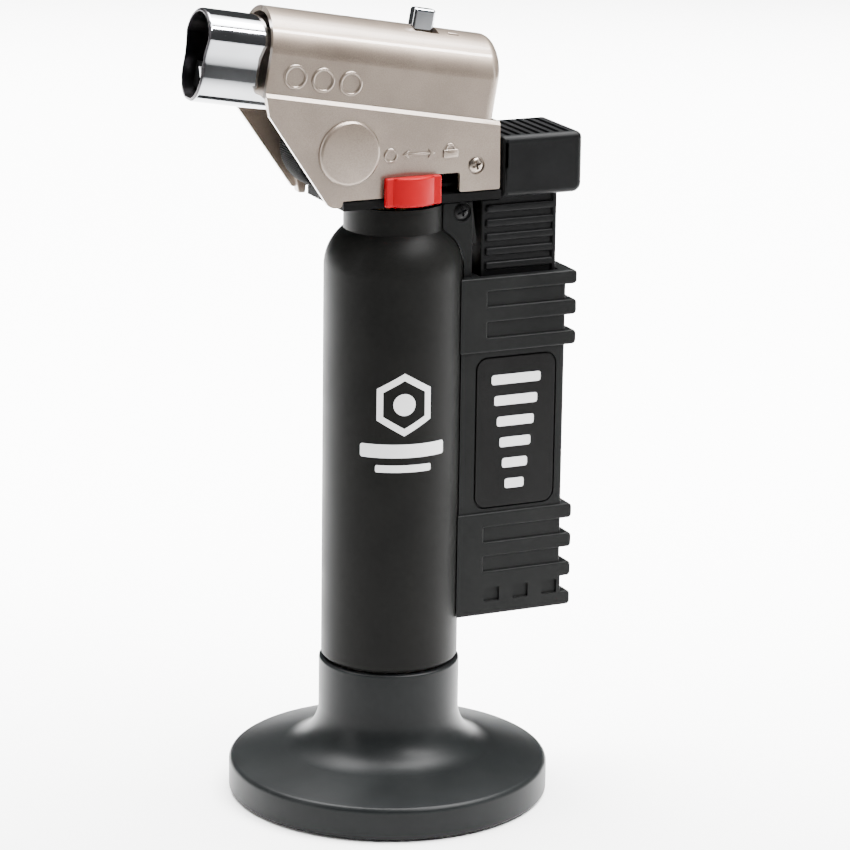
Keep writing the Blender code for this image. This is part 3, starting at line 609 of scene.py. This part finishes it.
def make_stand():
    """A collar that flares into a round foot, hollow below, with a well for the tank's plug."""
    flare_r, flare_z = 8.2, 17.0
    rim_top = 6.7
    fillet = 1.1
    lip = 0.45
    top = SEAM_Z - 0.3
    outer = arc(COLLAR_R - lip, top - lip, lip, 90, 0, 5)
    outer += arc(COLLAR_R + flare_r, flare_z, flare_r, 180, 264, 24)
    outer += arc(STAND_R - fillet, rim_top - fillet, fillet, 80, 0, 9)
    outer += [(STAND_R, 1.0)] + arc(STAND_R - 0.5, 0.9, 0.5, 0, -90, 4)
    under = [(28.8, 0.4), (28.8, 4.2), (20.0, 6.2), (15.0, 8.2), (9.5, 12.4), (1.6, 12.4)]
    well = [(1.6, 14.5), (10.7, 14.5), (10.7, top - 0.7), (11.2, top)]
    shell = turned("stand_body", outer + under + well, STAND_PLASTIC, LARGE_SIDES)
    done(smooth(shell, 40, False), "stand", "stand_plastic", "stand_shell")


def tank_side(offset, steps):
    """The tank's neck and shoulder as (radius, height) from the top, moved out by the offset."""
    side = [(NECK_R + offset, TANK_HIGH.z), (NECK_R + offset, NECK_BASE_Z)]
    start = degrees(asin((NECK_BASE_Z - 0.2 - SHOULDER_Z) / (SHOULDER_R + offset)))
    side += arc(SHOULDER_CENTRE, SHOULDER_Z, SHOULDER_R + offset, start, 0, steps)
    return side


def make_tank():
    wall = 0.9
    foot_r = 0.9
    outside = tank_side(0, 24)
    outside += [(TANK_R, SEAM_Z + foot_r + 0.1)]
    outside += arc(TANK_R - foot_r, SEAM_Z + foot_r, foot_r, 0, -80, 6)
    inside = [(TANK_R - wall, SEAM_Z + 0.1)] + tank_side(-wall, 8)[::-1]
    tank = turned("tank_body", outside + inside, TANK_COAT, LARGE_SIDES)
    done(smooth(tank, 34, False), "torch", "tank_coat", "tank_shell")


# ---- covers ----
def tilted(x, z):
    """An XZ place as (along the burner's axis, above it)."""
    c, s = cos(BARREL_TILT), sin(BARREL_TILT)
    return c * x - s * (z - BURNER_ORIGIN.z), s * x + c * (z - BURNER_ORIGIN.z)


def cover_edge(slotted):
    """The side plate's edge below the ledge, from its rear end round to its front end."""
    slot_front, slot_rear, slot_top = -5.9, 9.4, 121.6
    nose_x, nose_z = -28.8, 134.4
    points = [(COVER_REAR, COVER_BOTTOM)]
    radii = [0.35]
    if slotted:
        nose_x += 0.4
        points += [(slot_rear, COVER_BOTTOM), (slot_rear, slot_top), (slot_front, slot_top),
                   (slot_front, COVER_BOTTOM), (-14.0, COVER_BOTTOM), (-14.3, COVER_CORNER_Z),
                   (-16.6, COVER_CORNER_Z)]
        radii += [0.4, 0.4, 0.4, 0.4, 0.25, 0.5, 2.4]
    else:
        points.append((-17.3, COVER_BOTTOM - 0.1))
        radii.append(0.5)
    points.append((nose_x, nose_z))
    radii.append(0.8)
    return points, radii


def barrel_sections(chamfer):
    """Half sections of the barrel as rows of (along, across, above), from its front to its rear.

    Each row runs from the crown down the arch and the side, and out over the ledge. The last
    rows draw in, which rounds the barrel's rear end.
    """
    arch_steps, straight_steps, round_steps = 20, 12, 8
    round_top, round_side = 2.0, 0.8
    straight = BARREL_REAR - round_top - BARREL_FRONT
    stations = [(BARREL_FRONT + straight * i / straight_steps, 0.0, 0.0)
                for i in range(straight_steps + 1)]
    for i in range(1, round_steps + 1):
        angle = pi / 2 * i / round_steps
        stations.append((BARREL_REAR - round_top * (1 - sin(angle)), round_side * (1 - cos(angle)),
                         round_top * (1 - cos(angle))))
    rows = []
    for t, narrow, sink in stations:
        half = BARREL_HALF - narrow
        rise = BARREL_HALF - sink
        row = []
        for i in range(arch_steps + 1):
            angle = pi / 2 * (1 - i / arch_steps)
            y = max(half * cos(angle), HALF_GAP)
            row.append((t, y, BARREL_ARCH + rise * sin(angle)))
        row += [(t, half, LEDGE * 0.6), (t, half, LEDGE), (t, COVER_HALF - chamfer, LEDGE),
                (t, COVER_HALF, LEDGE - chamfer)]
        rows.append(row)
    return rows


def make_cover_shell(name, side):
    """Half of the head's cover: arched barrel, ledge and side plate in one sheet, given a wall."""
    chamfer = 0.65
    shape = bmesh.new()

    def corner(t, y, n):
        return shape.verts.new(Vector((t, side * y, n)) * MM)

    rows = [[corner(*point) for point in row] for row in barrel_sections(chamfer)]
    for row, following in zip(rows, rows[1:]):
        for i in range(len(row) - 1):
            shape.faces.new((row[i], row[i + 1], following[i + 1], following[i]))
    # The side plate hangs from the ledge's outer edge.
    points, radii = cover_edge(side < 0)
    deck_rear = (COVER_REAR - LEDGE * sin(BARREL_TILT)) / cos(BARREL_TILT)
    brow = LEDGE - chamfer
    ring = [(deck_rear, brow)] + [tilted(x, z) for x, z in points] + [(BARREL_FRONT, brow)]
    outline = rounded(ring, [0.0] + radii + [0.0], 5)[:-1]
    lower = [corner(t, COVER_HALF, n) for t, n in outline]
    shape.faces.new([row[-1] for row in rows] + lower)
    # The barrel's rear wall, the deck behind it and the wall below the deck.
    last = rows[-1]
    foot = corner(BARREL_REAR, HALF_GAP, LEDGE)
    tip = corner(deck_rear, HALF_GAP, LEDGE)
    low = corner(outline[1][0], HALF_GAP, outline[1][1])
    end = corner(deck_rear, COVER_HALF - chamfer, LEDGE)
    shape.faces.new(last[:-2] + [foot])
    shape.faces.new([foot, last[-3], last[-2], end, tip])
    shape.faces.new([last[-2], last[-1], lower[0], end])
    shape.faces.new([tip, end, lower[0], lower[1], low])
    face_away(shape, Vector((0, 0, -4)) * MM)
    cover = from_bmesh(name, shape, COVER_PAINT, BARREL)
    wall = cover.modifiers.new("wall", "SOLIDIFY")
    wall.thickness = COVER_WALL * MM
    wall.offset = -1
    wall.use_even_offset = True
    edges = cover.modifiers.new("edges", "BEVEL")
    edges.width = 0.25 * MM
    edges.segments = 3
    edges.limit_method = "ANGLE"
    edges.angle_limit = radians(40)
    return apply_all(cover)


def raised_ring(name, x, z, radius, bead, out=COVER_HALF):
    """A round bead on the near side, with its middle sunk in the face at the distance out."""
    turns = [2 * pi * i / 12 for i in range(12)]
    profile = [(radius + bead * cos(a), bead * sin(a)) for a in turns]
    return turned(name, profile[::-1], None, 64, place=near_side(x, -out, z))


def raised_disc(name, x, z, radius, height):
    """A flat disc that stands out of the near side plate, with a rounded shoulder."""
    root = -0.3
    edge = [(0, height)] + arc(radius - height, 0, height, 90, 0, 6) + [(radius, root), (0, root)]
    return turned(name, edge, None, 96, ring=False, place=near_side(x, -COVER_HALF, z))


def sign_bar(name, outline):
    """A raised sign on the near side plate."""
    lift, root = 0.3, 0.2
    return side_slab(name, outline, (-COVER_HALF - lift, -COVER_HALF + root), edge=0.1, steps=2)


def make_emboss():
    """What is raised on the near cover: three rings, the dial's disc and the signs."""
    pieces = []
    first_ring, ring_pitch, ring_level = -22.75, 5.5, -3.95
    for i in range(3):
        spot = BARREL @ Vector(((first_ring + ring_pitch * i) * MM, 0, ring_level * MM))
        pieces.append(raised_ring(f"ring_{i}", spot.x / MM, spot.z / MM, 2.0, 0.33, BARREL_HALF))
    pieces.append(raised_disc("dial_disc", DIAL_X + 0.5, DIAL_Z + 0.2, 6.05, 0.75))
    # A short bar on the barrel's shoulder marks the open end of the air lever's slot.
    crown = BARREL @ Matrix.Translation((0, 0, BARREL_ARCH * MM)) @ Matrix.Rotation(0.37, 4, "X")
    pieces.append(block("air_mark", (8.1, 10.4), (-0.3, 0.3), (7.4, 7.95), edge=0.15, corner=0.25,
                        place=crown))
    # An open ring, a two-way arrow and a closed padlock show which way the lock slides.
    level = 125.7
    half = 1.15
    pieces.append(raised_ring("open_sign", -4.6, level, half, 0.26))
    shaft = rectangle((-1.2, 3.2), (level - 0.2, level + 0.2))
    pieces.append(sign_bar("arrow_shaft", shaft))
    for way, tip in ((-1, -2.2), (1, 4.2)):
        head = ((tip, level), (tip - way * 1.3, level + 0.85), (tip - way * 0.95, level),
                (tip - way * 1.3, level - 0.85))
        pieces.append(sign_bar(f"arrow_head_{way + 1}", head))
    body = rectangle((5.9, 8.9), (level - half, level + 0.35))
    pieces.append(sign_bar("padlock_body", rounded(body, 0.2)))
    pieces.append(raised_ring("padlock_bow", 7.4, level + 0.45, 0.85, 0.24))
    raised = merge("cover_emboss", pieces, COVER_PAINT)
    done(smooth(raised, 50, False), "torch", "cover_paint")


def countersink(place, radius, depth):
    """A cutter for the seat of a screw's head."""
    return rod("countersink", radius, -depth, 1, place, 48)


def make_covers():
    """Both half covers, with the air lever's window, and what is raised on the near one."""
    for name, side, node in (("near_cover", -1, "cover_near"), ("far_cover", 1, "cover_far")):
        cover = make_cover_shell(name, side)
        lever_window = crate((1.2, 6.2), (-3.3, 3.3), (2.0, 9.0))
        lever_window.matrix_world = BARREL
        cut(cover, lever_window)
        if side < 0:
            bar_window = crate((14, 19), (-6.3, -4.1), (117, 120.0))
            cut(cover, countersink(near_side(*COVER_SCREW), 1.7, 0.35), bar_window)
        if side > 0:
            foot = ((-17.1, 119.8), (-16.4, COVER_CORNER_Z), (-15.1, 116.65), (-14.8, 119.8))
            nub = side_slab("nub", rounded(foot, 0.3), (6.4, COVER_HALF - 0.1), edge=0.2)
            cover = merge(name, [cover, nub], COVER_PAINT)
        done(smooth(cover, 30), "torch", "cover_paint", node)
    make_emboss()


def make_screw(name, node, spot, head_r, finish, slot):
    """A pan-head screw with a cross recess, driven in from the near side."""
    turn = near_side(*spot)
    shank_r, shank_end = head_r * 0.5, -12.0
    dome = [(0, 0.3), (shank_r, 0.26), (head_r * 0.82, 0.12), (head_r, -0.1), (head_r, -0.6),
            (shank_r, -0.8), (shank_r, shank_end), (0, shank_end - 0.6)]
    screw = turned(name, dome, finish, 48, ring=False, place=turn)
    reach, half = head_r * 0.66, 0.2
    arms = []
    for angle in (20, 110):
        arms.append(block("cross", (-reach, reach), (-half, half), (-0.6, 1.0), edge=0.05,
                          corner=0.05, place=turn @ Matrix.Rotation(radians(angle), 4, "Z"),
                          steps=1))
    cut(screw, *arms)
    done(smooth(screw, 35, False), "torch", slot, node)


# ---- burner guard, air lever and dial ----
def make_guard():
    """A shroud with a round top over a narrow box, a rolled lip and a bore, and its dark sill."""
    front, rear = -39.6, -22.0
    crown = [(5.9 * y, 5.5 * n) for y, n in arc(0, 0, 1, 174, 6, 36)]
    right = [(4.9, -2.9), (5.1, -7.4), (3.75, -10.1), (1.7, -11.4)]
    corners = crown + right + [(-a, b) for a, b in right[::-1]]
    radii = [2.0] + [0.0] * (len(crown) - 2) + [2.0, 7.5, 4.5, 4.0, 3.4, 3.4, 4.0, 4.5, 7.5]
    outline = rounded(corners, radii, 6)

    def loop(t, gap):
        return [(t, y, n) for y, n in (inset(outline, gap) if gap else outline)]

    wall, lip = 0.7, 0.55
    loops = [loop(rear, 0.0), loop((front + rear) / 2, 0.0), loop(front + lip, 0.0)]
    for i in range(1, 4):
        angle = pi / 2 * i / 3
        loops.append(loop(front + lip * (1 - sin(angle)), lip * (1 - cos(angle))))
    loops += [loop(front + 0.03, wall - 0.06), loop(front + 0.2, wall), loop(rear, wall)]
    guard = rings("guard", loops, CHROME, BARREL, closed=True)
    guard.data.materials.append(BORE_PAINTED_SHADE)
    # Painted shade: a dark chrome covers the bore and the lip, from its first rounded loop inwards,
    # for the shade in the guard's opening.
    painted_shade_faces = range(3 * len(outline), 8 * len(outline))
    for face in guard.data.polygons:
        if face.index in painted_shade_faces:
            face.material_index = 1
    done(smooth(guard, 24), "torch", "chrome", "burner_guard")
    sill = block("sill", (front + 2.2, front + 3.4), (-3.9, 3.9), (-9.3, -4.4), TRIGGER_PLASTIC,
                 edge=0.25, corner=0.4)
    spark_level = -7.4
    spark_way = Matrix.Translation((0, 0, spark_level * MM)) @ ALONG_X
    cut(sill, rod("hole", 1.45, -40.0, -34.0, spark_way, 32))
    sill.matrix_world = BARREL
    done(smooth(sill, 35), "torch", "grip_plastic")


def make_air_lever():
    """A collar round the burner's tube, with the tab that turns it."""
    rim = [(4.5, 8.2), (4.5, 1.4), (4.3, 1.2), (3.6, 1.2), (3.6, 8.4), (4.3, 8.4)]
    collar = turned("collar", rim, None, 64, place=BARREL @ ALONG_X)
    tab = block("tab", (1.5, 6.0), (-1.2, 1.2), (4.2, 10.6), edge=0.6, corner=0.6,
                place=BARREL, steps=4)
    lever = merge("air_tab", [collar, tab], CHROME)
    done(smooth(lever, 35), "air_lever", "chrome", "air_lever")


def make_dial():
    """A finely ribbed drum on a stub axle, with an offset cam behind it."""
    ribs, points_per_rib = 112, 6
    radius, depth, half = 8.0, 0.32, 4.6

    def loop(y, shrink, ribbed=True):
        points = []
        for i in range(ribs * points_per_rib):
            angle = 2 * pi * i / (ribs * points_per_rib)
            wave = abs(cos(ribs * angle / 2)) ** 0.7
            r = radius - shrink - (depth * (1 - wave) if ribbed else 0)
            points.append((r * cos(angle), y, r * sin(angle)))
        return points

    loops = [loop(-half, 0.8, False), loop(-half + 0.12, 0.35), loop(-half + 0.5, 0.0),
             loop(half - 0.5, 0.0), loop(half - 0.12, 0.35), loop(half, 0.8, False)]
    place = Matrix.Translation((DIAL_X * MM, 0, DIAL_Z * MM))
    drum = rings("drum", loops, None, place)
    axle = near_side(DIAL_X, 0, DIAL_Z)
    stub = rod("stub", 1.8, -7.1, 7.1, axle, 32)
    cam = rod("cam", 4.3, -6.2, -4.4, axle @ Matrix.Translation((-1.5 * MM, 0, 0)), 48)
    dial = merge("ribbed_dial", [drum, stub, cam], DIAL_BLACK)
    done(smooth(dial, 40, False), "flow_dial", "trigger_plastic", "flow_dial")


# ---- trigger and lock ----
def make_trigger():
    """The thumb block over a hollow ribbed sleeve, whose ramp pushes the lever's tail."""
    front, rear = 18.3, TRIGGER_HIGH.x
    bottom, top = 115.9, TRIGGER_HIGH.z
    outline = rounded(rectangle((front, rear), (bottom, top)), [0.5, 1.7, 1.3, 0.5], 5)
    trigger = side_slab("thumb_block", outline, (TRIGGER_LOW.y, TRIGGER_HIGH.y), edge=1.2, steps=5)
    sleeve_front, sleeve_rear = 15.2, 30.6
    sleeve_low, step_z = 92.0, 115.4
    core = side_slab("sleeve", ((sleeve_front, sleeve_low), (sleeve_rear, sleeve_low),
                                (sleeve_rear, 118.0), (18.7, 118.0), (18.7, step_z),
                                (sleeve_front, step_z)), (-6.0, 6.0), edge=0.3)
    ramp = side_slab("ramp", ((15.6, 108.7), (15.0, 108.7), (13.87, step_z), (15.6, step_z)),
                     (-2.0, 2.0), edge=0.1, steps=1)
    join(trigger, core, ramp)
    cutters = [crate((16.7, 29.1), (-5.2, 5.2), (91.0, 108.3))]
    for lift in (0, TRIGGER_TRAVEL):
        pocket = (LOCK_BAR[0] - POCKET_ROOM + lift, LOCK_BAR[1] + POCKET_ROOM + lift)
        cutters.append(crate((17.0, 22.0), (-6.3, -4.1), pocket))
    first_groove, groove_pitch, groove_width, groove_depth = 19.6, 2.0, 1.0, 0.6
    for i in range(7):
        x = first_groove + groove_pitch * i
        cutters.append(block("groove", (x, x + groove_width), (-7.0, 7.0),
                             (top - groove_depth, top + 1.5), edge=0.1, corner=0.25, steps=2))
    cut(trigger, *cutters)
    pieces = [trigger]
    first_rib, rib_pitch, rib_height = 102.0, 2.72, 1.55
    for y in ((-6.5, -5.7), (5.7, 6.5)):
        pieces.append(block("foot", (sleeve_front, sleeve_rear), y, (sleeve_low, 100.6), edge=0.25))
        pieces.append(block("rear_strip", (29.7, sleeve_rear), y, (92.5, 116.6), edge=0.25))
        for i in range(5):
            z = first_rib + rib_pitch * i
            pieces.append(block("rib", (16.0, 30.2), y, (z, z + rib_height), edge=0.45,
                                corner=0.45))
    trigger = merge("thumb_trigger", pieces, TRIGGER_PLASTIC)
    done(smooth(trigger, 32), "trigger", "trigger_plastic", "trigger")


def make_lock():
    """A red knob with a bulging face, on a dark bar that runs back to the trigger."""
    front, rear = -6.05, 5.1
    back_y, face_y = -8.95, -10.15
    bulge = arc(-0.6, -4.5, 7.0, -126, -54, 12)
    face = [(front, back_y), (front, face_y), (-4.5, face_y)] + bulge
    face += [(3.5, face_y), (rear, face_y), (rear, back_y)]
    radii = [0.3, 0.35, 0.3] + [0.0] * len(bulge) + [0.3, 0.35, 0.3]
    knob = slab("red_knob", rounded(face, radii, 4), LOCK_LOW.z, LOCK_HIGH.z, LOCK_RED, edge=0.4,
                steps=4)
    neck = block("neck", (-5.3, 4.2), (-9.4, -4.4), (118.2, 121.3), edge=0.2, corner=0.2)
    bar = block("bar", (3.0, LOCK_HIGH.x), (-6.0, -4.4), LOCK_BAR, edge=0.15, corner=0.2)
    done(smooth(knob, 35), "lock_slider", "lock_red", "lock_slider")
    bar = merge("lock_bar_black", [neck, bar], TRIGGER_PLASTIC)
    done(smooth(bar, 35), "lock_slider", "trigger_plastic")


# ---- grip ----
def ribbed_edge(ribs):
    """The rear edge of the grip's skin along one band of ribs."""
    points = []
    for low, high in ribs:
        points += [(GRIP_NOTCH, low), (GRIP_REAR, low), (GRIP_REAR, high), (GRIP_NOTCH, high)]
    return points


def comb(ribs, filled):
    """A band's raised face: solid at the front, and one tooth on each rib behind it.

    The lowest groove of a filled band is only cut back from the rear.
    """
    points = [(GRIP_FRONT, ribs[0][0])]
    for i, (low, high) in enumerate(ribs):
        if i:
            points.append((GRIP_NOTCH if filled and i == 1 else GROOVE_FRONT, low))
        points += [(GRIP_REAR, low), (GRIP_REAR, high)]
        if i < len(ribs) - 1:
            points.append((GRIP_NOTCH if filled and i == 0 else GROOVE_FRONT, high))
    points.append((GRIP_FRONT, ribs[-1][1]))
    return points


def grip_outline(points):
    """The outline with well rounded rear corners, sharp front ones and small rounds between."""
    corner_r = {GRIP_FRONT: 0.0, GRIP_REAR: 0.75}
    return rounded(points, [corner_r.get(x, 0.15) for x, _ in points], 4)


def tank_seat():
    """A cutter with the tank's own outline, a little larger."""
    room, low, high = 0.25, 20, 117
    side = [(r + room, z) for r, z in tank_side(0, 16)]
    profile = [(0, high), (NECK_R + room, high)] + side[1:] + [(TANK_R + room, low), (0, low)]
    return turned("tank_seat", profile, None, 128, ring=False)


def make_grip_half(name, node, side):
    """Half of the grip: a skin, two raised bands of ribs and the column beside the tank's neck."""
    rim = [(GRIP_FRONT, GRIP_BOTTOM)] + ribbed_edge(LOWER_RIBS)[1:] + ribbed_edge(UPPER_RIBS)[:-1]
    rim.append((GRIP_FRONT, UPPER_RIBS[-1][1]))

    def across(near, far):
        return (near, far) if side > 0 else (-far, -near)

    # Only the outer end is rounded: the other one meets the other half.
    ends = (0, 1) if side > 0 else (1, 0)
    grip = side_slab(name, grip_outline(rim), across(HALF_GAP, GRIP_SKIN), edge=0.5, ends=ends)
    parts = []
    for ribs, filled in ((UPPER_RIBS, False), (LOWER_RIBS, True)):
        parts.append(side_slab("band", grip_outline(comb(ribs, filled)),
                               across(GRIP_SKIN - 1.2, GRIP_HALF), edge=0.42, ends=ends))
    column = rounded(rectangle((6.5, 13.2), (100.0, 115.5)), [0, 0, 0.4, 0], 3)
    parts.append(side_slab("column", column, across(HALF_GAP, COLUMN_FACE), edge=0.25, ends=ends))
    join(grip, *parts)
    # The tank's seat, then the spaces for the trigger's sleeve, the piezo, the grip's foot, the
    # lead and the valve lever's tail.
    cutters = [
        tank_seat(),
        crate((14.7, 31.1), (-6.9, 6.9), (84.4, 103.0)),
        crate((19.6, 27.4), (-4.4, 4.4), (61.7, 85.0)),
        crate((16.2, 30.2), (-6.2, 6.2), (38.0, 59.5)),
        crate((22.0, 25.0), (-1.6, 1.6), (59.0, 62.5)),
        crate((12.2, 14.05), (-5.2, 3.6), (101.25, 116.0)),
    ]
    past_skin = GRIP_SKIN + 1.5
    label = rounded(rectangle((13.6, 30.5), (56.0, 85.7)), 2.4, 6)
    cutters.append(side_slab("label_seat", label, across(GRIP_SKIN - 0.5, past_skin), edge=0.05,
                             steps=1))
    if side > 0:
        lead_channel = crate((13.15, 16.6), (3.6, 5.6), (54.0, 102.0))
        cutters.append(lead_channel)
    else:
        seat = near_side(GRIP_SCREW_X, -COLUMN_FACE, GRIP_SCREW_Z)
        cutters.append(countersink(seat, 1.85, 0.4))
    # Three small recesses in the lower band's filled groove.
    first_recess, recess_pitch, half = 17.5, 6.1, 1.6
    for i in range(3):
        x = first_recess + recess_pitch * i
        hole = rounded(rectangle((x - half, x + half), (37.7, 40.4)), 0.2, 2)
        cutters.append(side_slab("small_recess", hole, across(GRIP_SKIN, past_skin), edge=0.05,
                                 steps=1))
    cut(grip, *cutters)
    grip.data.materials.clear()
    grip.data.materials.append(GRIP_PLASTIC)
    done(smooth(grip, 30), "torch", "grip_plastic", node)


def make_label(name, node, side):
    """A gloss plate with a plain printed gauge of bars."""
    low, high = limits(node)
    outline = rounded(rectangle((low.x, high.x), (low.z, high.z)), 2.2, 8)
    plate = side_slab(name, outline, (low.y, high.y), LABEL_GLOSS, edge=0.12, steps=2)
    done(smooth(plate, 35), "torch", "label_gloss", node)
    face = side * (max(abs(low.y), abs(high.y)) + 0.005)
    middle = (low.x + high.x) / 2
    first_bar, pitch, rise, ink = 4.3, 4.1, 0.95, 0.02
    shortest, growth = 2.0, 0.62
    bars = []
    for i in range(6):
        z = low.z + first_bar + pitch * i
        half = shortest + growth * i
        bar = rounded(rectangle((middle - half, middle + half), (z - rise, z + rise)), 0.5, 4)
        bars.append(side_slab("bar", bar, (face - ink, face + ink), edge=0.01, steps=1))
    printed = merge(f"{name}_print", bars, PRINT)
    done(printed, "torch", "label_gloss")


def tank_patch(name, outline, facing):
    """A flat outline wrapped round the tank, cut into narrow strips so that it follows."""
    skin = TANK_R + 0.02
    strip = 0.5
    shape = bmesh.new()
    shape.faces.new([shape.verts.new((a * MM, b * MM, 0)) for a, b in outline])
    across = [a for a, _ in outline]
    line = min(across) + strip
    while line < max(across):
        everything = shape.verts[:] + shape.edges[:] + shape.faces[:]
        bmesh.ops.bisect_plane(shape, geom=everything, plane_co=(line * MM, 0, 0),
                               plane_no=(1, 0, 0))
        line += strip
    for vert in shape.verts:
        angle = facing - vert.co.x / (TANK_R * MM)
        vert.co = Vector((-sin(angle) * skin * MM, -cos(angle) * skin * MM, vert.co.y))
    face_away(shape, Vector())
    return from_bmesh(name, shape)


def make_emblem():
    """A plain printed emblem on the tank: a hexagon ring with a dot, over two bars."""
    facing = radians(13.5)
    centre_z = 74.5
    hexagon_z = centre_z + 5.0

    def hexagon(radius):
        return [(radius * sin(pi / 3 * i), hexagon_z + radius * cos(pi / 3 * i)) for i in range(6)]

    def bar(half, low, high, radius):
        return rounded(rectangle((-half, half), (low, high)), radius, 4)

    pieces = []
    outer, inner = hexagon(6.0), hexagon(4.6)
    for i in range(6):
        j = (i + 1) % 6
        pieces.append(tank_patch("side", [outer[i], outer[j], inner[j], inner[i]], facing))
    pieces.append(tank_patch("dot", arc(0, hexagon_z, 2.1, 0, 345, 23), facing))
    pieces.append(tank_patch("long_bar", bar(8.4, centre_z - 5.2, centre_z - 2.6, 0.5), facing))
    pieces.append(tank_patch("short_bar", bar(5.4, centre_z - 8.0, centre_z - 6.6, 0.4), facing))
    emblem = merge("tank_emblem", pieces, PRINT)
    weld(emblem.data, 1e-8)
    done(emblem, "torch", "label_gloss")


# ---- springs and the gas tube ----
def coil_points(centre_x, radius, wire, low, high, turns, steps=20):
    """The middle line of an upright coil whose wire stays inside low and high."""
    points = []
    for i in range(turns * steps + 1):
        angle = 2 * pi * i / steps
        height = low + wire + (high - low - 2 * wire) * i / (turns * steps)
        points.append((centre_x + radius * cos(angle), radius * sin(angle), height))
    return points


def make_springs():
    """A steel coil for each spring, as tall as its CAD node."""
    for node, joint, centre_x, radius, wire, turns, fixed in (
        ("trigger_spring", "trigger_press", 23.5, 3.6, 0.35, 7, "low"),
        ("valve_spring", "valve_stem_lift", 0.0, 1.5, 0.2, 5, "high"),
        ("fill_spring", "fill_stem_press", 0.0, 2.0, 0.25, 5, "high"),
    ):
        low, high = limits(node)
        spring = tube(f"{node}_coil", coil_points(centre_x, radius, wire, low.z, high.z, turns),
                      wire, STEEL)
        done(spring, "torch", "steel", node)
        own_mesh(spring)


def through(points, steps):
    """Points on a smooth curve through the given ones, steps to each stretch."""
    found = []
    for i in range(len(points) - 1):
        before = Vector(points[max(i - 1, 0)])
        here = Vector(points[i])
        there = Vector(points[i + 1])
        after = Vector(points[min(i + 2, len(points) - 1)])
        for j in range(steps):
            u = j / steps
            bend = 2 * before - 5 * here + 4 * there - after
            twist = 3 * here - before - 3 * there + after
            found.append(here + (there - before) * u / 2 + bend * u * u / 2 + twist * u**3 / 2)
    found.append(Vector(points[-1]))
    return found


def make_gas_tube():
    """The tube from the valve's stem to the jet."""
    route = ((0, 0, 124.4), (0, 0, 127.4), (2.4, 0, 130.4), (8.0, 0, 131.0), (11.0, 0, 132.6),
             (11.3, 0, 135.4))
    pipe = tube("gas_pipe", through(route, 8), 0.6, BRASS)
    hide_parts("gas_tube")
    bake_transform(pipe)


def finish_cad_nodes():
    for node, finish in CAD_FINISH.items():
        slots = frame["nodes"][node].data.materials
        slots.clear()
        slots.append(finish)


# ---- everything ----
make_camera()
make_stage()
make_stand()
make_tank()
make_covers()
make_screw("cover_screw_head", "cover_screw", COVER_SCREW, 1.35, SCREW_COAT, "steel")
make_screw("grip_screw_head", "grip_screw", (GRIP_SCREW_X, -COLUMN_FACE + 0.25, GRIP_SCREW_Z), 1.5,
           BLACK_STEEL, "black_steel")
make_guard()
make_air_lever()
make_dial()
make_trigger()
make_lock()
make_grip_half("near_grip", "grip_near", -1)
make_grip_half("far_grip", "grip_far", 1)
make_label("near_label", "label_near", -1)
make_label("far_label", "label_far", 1)
make_emblem()
make_springs()
make_gas_tube()
finish_cad_nodes()
